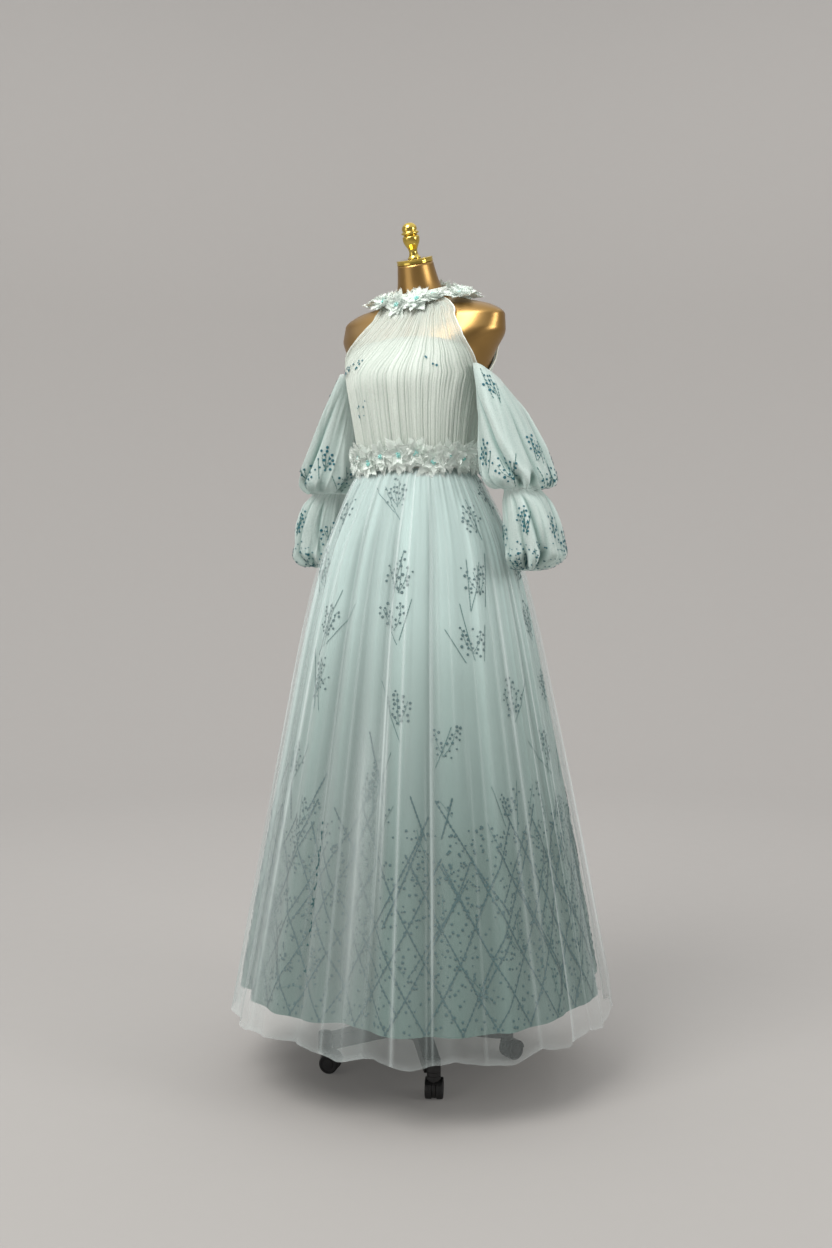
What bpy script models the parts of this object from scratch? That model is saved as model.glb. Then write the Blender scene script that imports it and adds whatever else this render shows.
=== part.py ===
"""Evening dress of pale mint tulle, worn on a limbless dress form with a caster stand.

Metres, +Z up. The form faces -Y and its left side is +X. The origin is on the floor,
under the middle of the skirt's hem. Cloth is a thin wall on the form's own sections,
moved out; every gather and fold comes from a named count and depth.
"""

import math
from collections import namedtuple

import bmesh
import bpy
from mathutils import Matrix, Vector

# Driving sizes of the whole
GAP = 0.0003  # running gap between pieces that touch
SEAM_GAP_DEG = 0.08  # half the gap at a side seam, as a turn round the body
CLOTH = 0.0012  # a gathered layer of tulle
FINE_CLOTH = 0.0010  # a layer of the skirt, and the lining
WAIST_SEAM = 1.2574  # top edge of the skirt
OVERLAY_HEM = 0.130  # lower edge of the plain outer tulle
EMBROIDERED_HEM = 0.178  # lower edge of the embroidered layer
STAND_Y = -0.020  # the pole stands a little in front of the hem's middle

# Sections of the form, from its lower edge to the top of the neck. front and back are
# half depths, tilt leans a section forward, square 2 is an ellipse, and dress marks
# the sections that the bodice touches.
Section = namedtuple("Section", "height half_width front back centre_y tilt square dress")
FORM_SECTIONS = (
    Section(0.900, 0.138, 0.096, 0.108, -0.012, 0, 2.2, False),
    Section(0.975, 0.160, 0.108, 0.124, -0.010, 0, 2.2, False),
    Section(1.060, 0.166, 0.114, 0.126, -0.010, 0, 2.2, False),
    Section(1.150, 0.148, 0.104, 0.108, -0.014, 0, 2.2, False),
    Section(1.210, 0.128, 0.093, 0.090, -0.018, 0, 2.2, False),
    Section(1.256, 0.119, 0.087, 0.082, -0.020, 0, 2.2, True),
    Section(1.325, 0.123, 0.096, 0.084, -0.019, 0, 2.2, False),
    Section(1.390, 0.138, 0.120, 0.090, -0.015, 0, 2.2, True),
    Section(1.445, 0.150, 0.132, 0.095, -0.010, 0, 2.2, True),
    Section(1.500, 0.172, 0.112, 0.094, -0.004, 0, 2.2, True),
    Section(1.545, 0.198, 0.088, 0.088, 0.000, 0, 2.2, True),
    Section(1.575, 0.198, 0.070, 0.078, 0.001, 2, 2.2, True),
    Section(1.598, 0.165, 0.058, 0.066, 0.001, 5, 2.2, True),
    Section(1.612, 0.105, 0.053, 0.060, -0.003, 12, 2.1, True),
    Section(1.622, 0.060, 0.050, 0.056, -0.008, 17, 2.0, True),
    Section(1.650, 0.0455, 0.044, 0.046, -0.015, 17, 2.0, True),
    Section(1.694, 0.0378, 0.0378, 0.0378, -0.0265, 17, 2.0, False),
)
DRESS_SECTIONS = tuple(section for section in FORM_SECTIONS if section.dress)
FORM_COLUMNS = 32

# How far each bodice panel reaches round the body, from the middle of the front or the
# back, at a level counted in dress sections from the waist. Past the bust it is the
# halter's armhole edge. pull is how far the front is drawn towards the form's left.
Reach = namedtuple("Reach", "level front_deg back_deg pull_deg")
HALTER_REACH = (
    Reach(0.024, 90, 90, 0),
    Reach(1.0, 90, 90, 0),
    Reach(2.0, 90, 90, 0),
    Reach(2.5, 75, 74, 3),
    Reach(2.75, 66, 67, 5),
    Reach(3.0, 58, 60, 6),
    Reach(3.25, 50, 55, 7),
    Reach(3.5, 42, 50, 8),
    Reach(4.0, 34, 42, 8),
    Reach(5.0, 28, 37, 8),
    Reach(6.0, 30, 36, 8),
    Reach(7.0, 46, 45, 7),
    Reach(8.0, 70, 68, 0),
)
FRONT_TURN = 270  # the middle of the front, counted from +X towards +Y
BACK_TURN = 90
FRONT_GATHERS = 20
BACK_GATHERS = 16
BODICE_TROUGH = 0.0056  # from the form to the outer face in a trough
GATHER_DEPTH = 0.0024
NECK_GATHER_DEPTH = 0.0012  # the gathers lie flatter under the collar
FLATTER_FROM_LEVEL = 5.0
COLLAR_LEVEL = 8.0
GATHER_UNEVEN = 0.2  # how much the gathers differ in depth
NORMAL_STEP_DEG = 3  # half the arc over which a surface normal is taken

# The strapless lining under the sheer yoke: its top edge is highest at the middle.
LiningStep = namedtuple("LiningStep", "level offset inset_deg")
LINING_STEPS = (
    LiningStep(0.024, 0.0018, 1.5),
    LiningStep(1.0, 0.0028, 6.0),
    LiningStep(2.0, 0.0026, 15.0),
    LiningStep(2.25, 0.0024, 12.0),
    LiningStep(2.5, 0.0028, 6.0),
    LiningStep(2.75, 0.0028, 4.0),
    LiningStep(3.0, 0.0028, 3.0),
)
LINING_TOP_STEP = LiningStep(None, 0.0029, 3.0)
LINING_COLUMNS = 18
FRONT_LINING_TOP = (3.60, 3.15)  # level at the middle and at the armhole
BACK_LINING_TOP = (3.35, 3.15)

# Collar, belt and their petal flowers
Band = namedtuple("Band", "low_level high_level offset columns")
COLLAR_BAND = Band(7.95, 8.60, 0.0088, 28)
WAISTBAND = Band(0.048, 0.46, 0.0100, 40)
PIPING_RADIUS = 0.0025
PIPING_POINTS = 28
PIPING_OFFSET = 0.0140
PIPING_LEVEL = 0.070
FlowerRow = namedtuple("FlowerRow", "count height radius cup wander")
COLLAR_FLOWERS = FlowerRow(7, 0.50, 0.027, 0.013, 0.12)
WAIST_FLOWERS = FlowerRow(11, 0.50, 0.033, 0.014, 0.08)
PETALS = 5
PETAL_CLOTH = 0.0012
PETAL_NOTCH = 0.66  # radius between two petals, as a share of the flower's
FIRST_FLOWER = 0.35  # from the middle of the front, as a share of their spacing
FLOWER_SPIN_DEG = 17  # how much each flower is turned from the one before

# Skirt: the outer tulle from the waist down. depth is how far a fold stands out, and
# gap how far the embroidered layer lies inside.
SkirtSection = namedtuple("SkirtSection", "height half_width half_depth centre_y square depth gap")
SKIRT_SECTIONS = (
    SkirtSection(WAIST_SEAM, 0.1256, 0.0911, -0.0225, 2.2, 0.0012, 0.0022),
    SkirtSection(1.236, 0.142, 0.110, -0.0200, 2.1, 0.0022, 0.0045),
    SkirtSection(1.100, 0.205, 0.181, -0.0100, 2.0, 0.0055, 0.0050),
    SkirtSection(0.950, 0.242, 0.229, -0.0050, 2.0, 0.0080, 0.0070),
    SkirtSection(0.700, 0.290, 0.284, -0.0020, 2.0, 0.0110, 0.0080),
    SkirtSection(0.400, 0.346, 0.343, 0.0000, 2.0, 0.0140, 0.0090),
    SkirtSection(OVERLAY_HEM, 0.394, 0.393, 0.0000, 2.0, 0.0160, 0.0100),
)
SKIRT_FOLDS = 24
FOLD_SAMPLES = (1.0, -0.5, -0.5)  # a narrow ridge and a flat valley
FOLD_UNEVEN = 0.30  # how much the folds differ in depth
FOLD_DRIFT_DEG = 2.2  # how far they wander from even spacing
HEM_DIP = 0.005  # the hem rises and falls by this much
HEM_WAVES = 3
HEM_WAVE_START = 0.6
DIP_POWER = 4  # the dip dies away quickly above the hem

# Sleeves: two balloon tiers that hang from the armhole. slope lifts the front edge.
SleeveSection = namedtuple("SleeveSection", "height centre_x half_x half_y gather slope")
UPPER_SLEEVE = (
    SleeveSection(1.2120, 0.248, 0.034, 0.046, 0.0015, 0.0),
    SleeveSection(1.2230, 0.246, 0.050, 0.064, 0.0030, 0.0),
    SleeveSection(1.2480, 0.238, 0.065, 0.079, 0.0040, 0.0),
    SleeveSection(1.2950, 0.226, 0.060, 0.075, 0.0040, 0.0),
    SleeveSection(1.3700, 0.204, 0.044, 0.062, 0.0030, 0.1),
    SleeveSection(1.4445, 0.1736, 0.016, 0.040, 0.0, 0.4),
)
LOWER_SLEEVE = (
    SleeveSection(1.0480, 0.264, 0.021, 0.027, 0.0020, 0.0),
    SleeveSection(1.0600, 0.269, 0.036, 0.046, 0.0030, 0.0),
    SleeveSection(1.0850, 0.276, 0.052, 0.068, 0.0040, 0.0),
    SleeveSection(1.1300, 0.273, 0.051, 0.067, 0.0050, 0.0),
    SleeveSection(1.1850, 0.261, 0.044, 0.058, 0.0040, 0.0),
    SleeveSection(1.2117, 0.248, 0.034, 0.046, 0.0015, 0.0),
)
SLEEVE_GATHERS = 10

# Neck cap and finial of polished brass. Radius and height above the plate's top face.
CAP_RADIUS = 0.0385
CAP_THICKNESS = 0.0100
FinialStep = namedtuple("FinialStep", "radius height")
FINIAL_PROFILE = (
    FinialStep(0.0, 0.0755),
    FinialStep(0.0090, 0.0730),
    FinialStep(0.0150, 0.0660),
    FinialStep(0.0158, 0.0585),
    FinialStep(0.0185, 0.0555),
    FinialStep(0.0185, 0.0520),
    FinialStep(0.0140, 0.0490),
    FinialStep(0.0182, 0.0445),
    FinialStep(0.0175, 0.0370),
    FinialStep(0.0120, 0.0240),
    FinialStep(0.0088, 0.0160),
    FinialStep(0.0100, 0.0080),
    FinialStep(0.0140, 0.0020),
    FinialStep(0.0140, GAP),
    FinialStep(0.0, GAP),
)
FINIAL_STEPS = 16

# Stand: pole, hub and four legs on casters
POLE_RADIUS = 0.0125
HUB_RADIUS = 0.030
HUB_LOW = 0.062
HUB_TOP = 0.124
CASTER_REACH = 0.195  # from the pole to a caster's stem
CASTER_TURNS_DEG = (45, 135, 225, 315)
LEG_WIDTH = 0.034
LEG_BEVEL = 0.004
LegStep = namedtuple("LegStep", "reach low high")
LEG_OUTLINE = (
    LegStep(0.1807, 0.050, 0.077),
    LegStep(0.1700, 0.050, 0.078),
    LegStep(0.1250, 0.057, 0.088),
    LegStep(0.0800, 0.064, 0.100),
    LegStep(0.0303, 0.070, 0.108),
)
SOCKET_RADIUS = 0.014
SOCKET_LOW = 0.0435
SOCKET_TOP = 0.082
STEM_RADIUS = 0.004
STEM_CLEARANCE = 0.0005
STEM_DEPTH = 0.022
WHEEL_RADIUS = 0.020
WHEEL_OUTER = 0.018  # half the width over both wheels
WHEEL_INNER = 0.0045  # half the slot between them
AXLE_RADIUS = 0.003
CASTER_TRAIL = 0.012  # from the stem back to the axle
FORK_HALF = 0.0038
FORK_RADIUS = 0.0185
FORK_HEAD_RADIUS = 0.0115
FORK_HEAD_LOW = 0.0405
CASTER_HEADINGS_DEG = (250, 20, 200, 300)  # which way each caster trails
ROUND_STEPS = 14


def clear_scene():
    """Starts from an empty file, without closing it."""
    for old in list(bpy.data.objects):
        bpy.data.objects.remove(old, do_unlink=True)


def new_collection(name):
    made = bpy.data.collections.new(name)
    bpy.context.scene.collection.children.link(made)
    return made


def new_material(name, colour, roughness, metallic=0.0):
    made = bpy.data.materials.new(name)
    made.use_nodes = True
    shader = made.node_tree.nodes["Principled BSDF"]
    shader.inputs["Base Color"].default_value = (*colour, 1.0)
    shader.inputs["Roughness"].default_value = roughness
    shader.inputs["Metallic"].default_value = metallic
    return made


def put(name, data, material, collection):
    """Links a mesh or curve as a named object with its material."""
    made = bpy.data.objects.new(name, data)
    collection.objects.link(made)
    data.materials.clear()
    data.materials.append(material)
    return made


def smooth(mesh, degrees):
    mesh.shade_smooth()
    mesh.set_sharp_from_angle(angle=math.radians(degrees))


def solid_from_bmesh(name, shape, material, collection, sharp_deg=35):
    mesh = bpy.data.meshes.new(name)
    bmesh.ops.recalc_face_normals(shape, faces=shape.faces)
    shape.to_mesh(mesh)
    shape.free()
    smooth(mesh, sharp_deg)
    return put(name, mesh, material, collection)


def grid_faces(row_count, column_count, closed):
    """Quads of a grid of points, rows upwards and columns towards +turn."""
    last = column_count if closed else column_count - 1
    for row in range(row_count - 1):
        for column in range(last):
            right = (column + 1) % column_count
            low, high = row * column_count, (row + 1) * column_count
            yield (low + column, low + right, high + right, high + column)


def cloth(name, rows, closed, thickness, material, collection):
    """A thin wall: the rows are its outer face, and Solidify adds the inner one."""
    mesh = bpy.data.meshes.new(name)
    points = [point for row in rows for point in row]
    mesh.from_pydata(points, [], list(grid_faces(len(rows), len(rows[0]), closed)))
    smooth(mesh, 60)
    made = put(name, mesh, material, collection)
    wall = made.modifiers.new("wall", "SOLIDIFY")
    wall.thickness = thickness
    wall.offset = -1.0
    return made


def turned(name, profile, steps, material, collection, place):
    """A turned solid: (radius, height) pairs, top to bottom, round the local Z axis."""
    mesh = bpy.data.meshes.new(name)
    points = [(radius, 0.0, height) for radius, height in profile]
    mesh.from_pydata(points, [(i, i + 1) for i in range(len(points) - 1)], [])
    made = put(name, mesh, material, collection)
    made.matrix_world = place
    spin = made.modifiers.new("spin", "SCREW")
    spin.axis = "Z"
    spin.angle = math.tau
    spin.steps = steps
    spin.render_steps = steps
    spin.screw_offset = 0.0
    spin.use_merge_vertices = True
    spin.merge_threshold = 0.00001
    spin.use_smooth_shade = True
    return made


def cylinder(shape, radius, low, high, steps, place=None):
    """Adds a capped cylinder between two heights to a bmesh."""
    move = Matrix.Translation((0.0, 0.0, (low + high) / 2))
    bmesh.ops.create_cone(
        shape,
        cap_ends=True,
        segments=steps,
        radius1=radius,
        radius2=radius,
        depth=high - low,
        matrix=(place or Matrix.Identity(4)) @ move,
    )


def uneven(number):
    """A repeatable value from -1 to 1 that differs from one fold to the next."""
    return math.sin(number * 2.399) * 0.6 + math.sin(number * 5.13 + 1.7) * 0.4


def oval(turn, half_width, front, back, square):
    """A point of a rounded section, seen from above."""
    across, along = math.cos(turn), math.sin(turn)
    power = 2.0 / square
    depth = front if along < 0 else back
    x = half_width * math.copysign(abs(across) ** power, across)
    y = depth * math.copysign(abs(along) ** power, along)
    return x, y


def ring_point(section, turn):
    x, y = oval(turn, section.half_width, section.front, section.back, section.square)
    lean = math.radians(section.tilt)
    return Vector((x, section.centre_y + y * math.cos(lean), section.height + y * math.sin(lean)))


def raised_point(sections, number, turn, offset):
    """A point of one section, moved out along the surface's normal."""
    step = math.radians(NORMAL_STEP_DEG)
    section = sections[number]
    below = sections[max(number - 1, 0)]
    above = sections[min(number + 1, len(sections) - 1)]
    around = ring_point(section, turn + step) - ring_point(section, turn - step)
    upwards = ring_point(above, turn) - ring_point(below, turn)
    return ring_point(section, turn) + around.cross(upwards).normalized() * offset


def body_point(level, turn_deg, offset, sections=DRESS_SECTIONS):
    """A point at a level between sections, offset from the form's surface."""
    turn = math.radians(turn_deg)
    number = min(int(level), len(sections) - 2)
    low = raised_point(sections, number, turn, offset)
    high = raised_point(sections, number + 1, turn, offset)
    return low.lerp(high, level - number)


def build_torso(parts, gold):
    rings = [
        [ring_point(section, math.tau * column / FORM_COLUMNS) for column in range(FORM_COLUMNS)]
        for section in FORM_SECTIONS
    ]
    points = [point for ring in rings for point in ring]
    faces = list(grid_faces(len(rings), FORM_COLUMNS, True))
    faces.append(tuple(reversed(range(FORM_COLUMNS))))
    faces.append(tuple(range(len(points) - FORM_COLUMNS, len(points))))
    mesh = bpy.data.meshes.new("form_torso")
    mesh.from_pydata(points, [], faces)
    smooth(mesh, 50)
    put("form_torso", mesh, gold, parts)


def neck_place(lift):
    """The frame of the neck's top face, moved up along the neck by lift."""
    top = FORM_SECTIONS[-1]
    lean = Matrix.Rotation(math.radians(top.tilt), 4, "X")
    base = Matrix.Translation((0.0, top.centre_y, top.height))
    return base @ lean @ Matrix.Translation((0.0, 0.0, lift))


def build_neck_cap(parts, brass):
    rim = 0.0012
    profile = (
        (0.0, CAP_THICKNESS),
        (CAP_RADIUS - rim, CAP_THICKNESS),
        (CAP_RADIUS, CAP_THICKNESS - rim),
        (CAP_RADIUS, rim),
        (CAP_RADIUS - rim, 0.0),
        (0.0, 0.0),
    )
    turned("form_neck_cap", profile, FORM_COLUMNS, brass, parts, neck_place(GAP))
    turned("form_finial", FINIAL_PROFILE, FINIAL_STEPS, brass, parts, neck_place(GAP + CAP_THICKNESS))


def gather_rows(reach_column, middle, gathers):
    """Rows of a gathered bodice panel, from the waist to the collar."""
    columns = gathers * 2 + 1
    rows = []
    for reach in HALTER_REACH:
        half = getattr(reach, reach_column) - SEAM_GAP_DEG
        centre = middle + (reach.pull_deg if middle == FRONT_TURN else 0)
        flat = max(0.0, reach.level - FLATTER_FROM_LEVEL) / (COLLAR_LEVEL - FLATTER_FROM_LEVEL)
        depth = GATHER_DEPTH + (NECK_GATHER_DEPTH - GATHER_DEPTH) * flat
        row = []
        for column in range(columns):
            share = 2.0 * column / (columns - 1) - 1.0
            ridge = (column % 2) * (1 - GATHER_UNEVEN + GATHER_UNEVEN * uneven(column))
            row.append(body_point(reach.level, centre + half * share, BODICE_TROUGH + depth * ridge))
        rows.append(row)
    return rows


def lining_rows(reach_column, middle, top_levels):
    """Rows of a smooth lining panel, whose top edge falls towards the armholes."""
    rows = []
    for step in LINING_STEPS + (LINING_TOP_STEP,):
        row = []
        for column in range(LINING_COLUMNS + 1):
            share = 2.0 * column / LINING_COLUMNS - 1.0
            top = top_levels[0] + (top_levels[1] - top_levels[0]) * share * share
            level = top if step.level is None else step.level
            half = reach_at(level, reach_column) - step.inset_deg
            centre = middle + (reach_at(level, "pull_deg") if middle == FRONT_TURN else 0)
            row.append(body_point(level, centre + half * share, step.offset))
        rows.append(row)
    return rows


def reach_at(level, reach_column):
    """A column of the halter's table at any level, in degrees."""
    for low, high in zip(HALTER_REACH, HALTER_REACH[1:]):
        if level <= high.level:
            share = max(0.0, (level - low.level) / (high.level - low.level))
            start, end = getattr(low, reach_column), getattr(high, reach_column)
            return start + (end - start) * share
    return getattr(HALTER_REACH[-1], reach_column)


def build_bodice(parts, tulle, lining):
    front = gather_rows("front_deg", FRONT_TURN, FRONT_GATHERS)
    back = gather_rows("back_deg", BACK_TURN, BACK_GATHERS)
    cloth("bodice_front", front, False, CLOTH, tulle, parts)
    cloth("bodice_back", back, False, CLOTH, tulle, parts)
    front = lining_rows("front_deg", FRONT_TURN, FRONT_LINING_TOP)
    back = lining_rows("back_deg", BACK_TURN, BACK_LINING_TOP)
    cloth("lining_front", front, False, FINE_CLOTH, lining, parts)
    cloth("lining_back", back, False, FINE_CLOTH, lining, parts)


def build_band(name, band, material, parts):
    """A plain band of cloth round the body."""
    rows = [
        [body_point(level, 360.0 * column / band.columns, band.offset) for column in range(band.columns)]
        for level in (band.low_level, band.high_level)
    ]
    cloth(name, rows, True, CLOTH, material, parts)


def build_piping(parts, material):
    """The narrow cord sewn along the belt's lower edge."""
    curve = bpy.data.curves.new("belt_piping", "CURVE")
    curve.dimensions = "3D"
    curve.bevel_depth = PIPING_RADIUS
    curve.bevel_resolution = 1
    line = curve.splines.new("POLY")
    line.points.add(PIPING_POINTS - 1)
    for number, point in enumerate(line.points):
        place = body_point(PIPING_LEVEL, 360.0 * number / PIPING_POINTS, PIPING_OFFSET)
        point.co = (*place, 1.0)
    line.use_cyclic_u = True
    put("belt_piping", curve, material, parts)


def flower_mesh(name, row):
    """Five petals that rise from the middle to a notched rim, facing up along local Z."""
    tips = (1.0, 1.0, PETAL_NOTCH)
    count = PETALS * len(tips)
    points = [(0.0, 0.0, PETAL_CLOTH)]
    for number in range(count):
        turn = math.tau * number / count
        reach = row.radius * tips[number % len(tips)]
        rise = row.cup * tips[number % len(tips)]
        points.append((math.cos(turn) * reach, math.sin(turn) * reach, PETAL_CLOTH + rise))
    mesh = bpy.data.meshes.new(name)
    mesh.from_pydata(points, [], [(0, 1 + n, 1 + (n + 1) % count) for n in range(count)])
    smooth(mesh, 60)
    return mesh


def band_frame(band, share, turn_deg, lift):
    """A place on a band's outer face, moved out by lift, with local Z facing out."""
    low = body_point(band.low_level, turn_deg, band.offset)
    high = body_point(band.high_level, turn_deg, band.offset)
    ahead = body_point(band.low_level, turn_deg + 1, band.offset)
    outward = (ahead - low).cross(high - low).normalized()
    facing = outward.to_track_quat("Z", "Y").to_matrix().to_4x4()
    return Matrix.Translation(low.lerp(high, share) + outward * lift) @ facing


def build_flowers(prefix, row, band, material, parts):
    mesh = flower_mesh(prefix, row)
    for number in range(row.count):
        turn = FRONT_TURN + 360.0 * (number + FIRST_FLOWER) / row.count
        share = row.height + row.wander * uneven(number)
        flower = put(f"{prefix}_{number + 1}", mesh, material, parts)
        spin = Matrix.Rotation(math.radians(FLOWER_SPIN_DEG * number), 4, "Z")
        flower.matrix_world = band_frame(band, share, turn, GAP) @ spin
        wall = flower.modifiers.new("petal", "SOLIDIFY")
        wall.thickness = PETAL_CLOTH
        wall.offset = -1.0


def skirt_rows(sections, inset):
    """Rows of a folded skirt layer, hem first. inset 1 is the inner layer, 0 the outer."""
    columns = SKIRT_FOLDS * len(FOLD_SAMPLES)
    rows = []
    for section in reversed(sections):
        falls = (WAIST_SEAM - section.height) / (WAIST_SEAM - OVERLAY_HEM)
        row = []
        for column in range(columns):
            fold = column // len(FOLD_SAMPLES)
            drift = FOLD_DRIFT_DEG * uneven(fold) * min(1.0, falls * 2)
            turn = math.radians(360.0 * column / columns + drift)
            ridge = FOLD_SAMPLES[column % len(FOLD_SAMPLES)] * (1 + FOLD_UNEVEN * uneven(fold + 7))
            out = section.depth * ridge - section.gap * inset
            width, depth = section.half_width + out, section.half_depth + out
            x, y = oval(turn, width, depth, depth, section.square)
            dip = HEM_DIP * falls ** DIP_POWER * math.sin(HEM_WAVES * turn + HEM_WAVE_START)
            row.append(Vector((x, y + section.centre_y, section.height + dip)))
        rows.append(row)
    return rows


def cut_skirt(hem):
    """The skirt's sections down to a hem that lies between the last two."""
    above, last = SKIRT_SECTIONS[-2], SKIRT_SECTIONS[-1]
    share = (hem - above.height) / (last.height - above.height)
    cut = SkirtSection(*(a + (b - a) * share for a, b in zip(above, last)))
    return SKIRT_SECTIONS[:-1] + (cut,)


def build_skirt(parts, overlay, embroidered):
    rows = skirt_rows(cut_skirt(EMBROIDERED_HEM), 1)
    cloth("skirt_embroidered", rows, True, FINE_CLOTH, embroidered, parts)
    cloth("skirt_overlay", skirt_rows(SKIRT_SECTIONS, 0), True, FINE_CLOTH, overlay, parts)


def sleeve_rows(tier, side):
    columns = SLEEVE_GATHERS * 2
    rows = []
    for section in tier:
        row = []
        for column in range(columns):
            turn = math.tau * column / columns
            gather = section.gather * (1 - GATHER_UNEVEN + GATHER_UNEVEN * uneven(column))
            out = gather if column % 2 else -gather
            x = side * section.centre_x + (section.half_x + out) * math.cos(turn)
            y = (section.half_y + out) * math.sin(turn)
            row.append(Vector((x, y, section.height - section.slope * y)))
        rows.append(row)
    return rows


def build_sleeves(parts, tulle):
    for label, side in (("left", 1), ("right", -1)):
        cloth(f"sleeve_upper_{label}", sleeve_rows(UPPER_SLEEVE, side), True, CLOTH, tulle, parts)
        cloth(f"sleeve_lower_{label}", sleeve_rows(LOWER_SLEEVE, side), True, CLOTH, tulle, parts)


def build_pole(parts, steel):
    for name, radius, low, high in (
        ("stand_pole", POLE_RADIUS, HUB_TOP + GAP, FORM_SECTIONS[0].height - GAP),
        ("stand_hub", HUB_RADIUS, HUB_LOW, HUB_TOP),
    ):
        shape = bmesh.new()
        cylinder(shape, radius, low, high, ROUND_STEPS)
        made = solid_from_bmesh(name, shape, steel, parts)
        made.location.y = STAND_Y


def build_leg(number, turn_deg, parts, steel):
    """A flat-sided arm, cut to its side outline and rounded along its edges."""
    curve = bpy.data.curves.new(f"stand_leg_{number}", "CURVE")
    curve.dimensions = "2D"
    curve.fill_mode = "BOTH"
    curve.extrude = LEG_WIDTH / 2
    lower = [(step.reach, step.low) for step in LEG_OUTLINE]
    upper = [(step.reach, step.high) for step in reversed(LEG_OUTLINE)]
    outline = lower + upper
    line = curve.splines.new("POLY")
    line.points.add(len(outline) - 1)
    for point, (reach, height) in zip(line.points, outline):
        point.co = (reach, height, 0.0, 1.0)
    line.use_cyclic_u = True
    leg = put(curve.name, curve, steel, parts)
    upright = Matrix.Rotation(math.radians(90), 4, "X")
    leg.matrix_world = stand_place(turn_deg) @ upright
    weld = leg.modifiers.new("weld", "WELD")
    weld.merge_threshold = 0.00005
    edge = leg.modifiers.new("edge", "BEVEL")
    edge.width = LEG_BEVEL
    edge.segments = 1
    edge.limit_method = "ANGLE"
    edge.angle_limit = math.radians(60)


def stand_place(turn_deg):
    """The pole's foot, turned so that local X runs along one leg."""
    return Matrix.Translation((0.0, STAND_Y, 0.0)) @ Matrix.Rotation(math.radians(turn_deg), 4, "Z")


def build_socket(number, place, parts, plastic):
    bore = STEM_RADIUS + STEM_CLEARANCE
    chamfer = 0.002
    profile = (
        (0.0, SOCKET_TOP),
        (SOCKET_RADIUS - chamfer, SOCKET_TOP),
        (SOCKET_RADIUS, SOCKET_TOP - chamfer),
        (SOCKET_RADIUS, SOCKET_LOW),
        (bore, SOCKET_LOW),
        (bore, SOCKET_LOW + STEM_DEPTH + STEM_CLEARANCE),
        (0.0, SOCKET_LOW + STEM_DEPTH + STEM_CLEARANCE),
    )
    turned(f"caster_socket_{number}", profile, ROUND_STEPS, plastic, parts, place)


def build_fork(number, place, parts, cutters, plastic):
    """The swivel: a web between the wheels, a head over them and the stem."""
    lying = Matrix.Translation((-CASTER_TRAIL, 0.0, WHEEL_RADIUS)) @ Matrix.Rotation(math.radians(90), 4, "X")
    web = bmesh.new()
    cylinder(web, FORK_RADIUS, -FORK_HALF, FORK_HALF, ROUND_STEPS, lying)
    fork = solid_from_bmesh(f"caster_fork_{number}", web, plastic, parts)
    head = bmesh.new()
    head_low = WHEEL_RADIUS + AXLE_RADIUS * 2
    cylinder(head, FORK_HALF, head_low, FORK_HEAD_LOW + STEM_CLEARANCE, ROUND_STEPS)
    neck = solid_from_bmesh(f"fork_neck_{number}", head, plastic, cutters)
    head = bmesh.new()
    cylinder(head, FORK_HEAD_RADIUS, FORK_HEAD_LOW, SOCKET_LOW - GAP, ROUND_STEPS)
    plate = solid_from_bmesh(f"fork_head_{number}", head, plastic, cutters)
    head = bmesh.new()
    cylinder(head, STEM_RADIUS, FORK_HEAD_LOW + STEM_CLEARANCE, SOCKET_LOW + STEM_DEPTH, ROUND_STEPS)
    stem = solid_from_bmesh(f"fork_stem_{number}", head, plastic, cutters)
    bore = bmesh.new()
    length = FORK_HALF * 2
    cylinder(bore, AXLE_RADIUS + STEM_CLEARANCE, -length, length, ROUND_STEPS, lying)
    hole = solid_from_bmesh(f"fork_bore_{number}", bore, plastic, cutters)
    for tool, operation in ((neck, "UNION"), (plate, "UNION"), (stem, "UNION"), (hole, "DIFFERENCE")):
        tool.matrix_world = place
        tool.hide_render = True
        tool.display_type = "WIRE"
        cut = fork.modifiers.new(tool.name, "BOOLEAN")
        cut.operation = operation
        cut.object = tool
        cut.solver = "EXACT"
    fork.matrix_world = place


def build_wheels(number, place, parts, rubber):
    """Twin wheels and their axle, turned in one piece about the axle."""
    crown = 0.003
    profile = (
        (0.0, WHEEL_OUTER),
        (WHEEL_RADIUS - crown, WHEEL_OUTER),
        (WHEEL_RADIUS, WHEEL_OUTER - crown),
        (WHEEL_RADIUS, WHEEL_INNER),
        (AXLE_RADIUS, WHEEL_INNER),
        (AXLE_RADIUS, -WHEEL_INNER),
        (WHEEL_RADIUS, -WHEEL_INNER),
        (WHEEL_RADIUS, crown - WHEEL_OUTER),
        (WHEEL_RADIUS - crown, -WHEEL_OUTER),
        (0.0, -WHEEL_OUTER),
    )
    axle = Matrix.Translation((-CASTER_TRAIL, 0.0, WHEEL_RADIUS)) @ Matrix.Rotation(math.radians(90), 4, "X")
    turned(f"caster_wheels_{number}", profile, ROUND_STEPS, rubber, parts, place @ axle)


def build_stand(parts, cutters, steel, plastic, rubber):
    build_pole(parts, steel)
    for number, turn_deg in enumerate(CASTER_TURNS_DEG, start=1):
        build_leg(number, turn_deg, parts, steel)
        stem = stand_place(turn_deg) @ Vector((CASTER_REACH, 0.0, 0.0))
        upright = Matrix.Translation(stem)
        heading = Matrix.Rotation(math.radians(CASTER_HEADINGS_DEG[number - 1]), 4, "Z")
        build_socket(number, upright, parts, plastic)
        build_fork(number, upright @ heading, parts, cutters, plastic)
        build_wheels(number, upright @ heading, parts, rubber)


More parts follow.
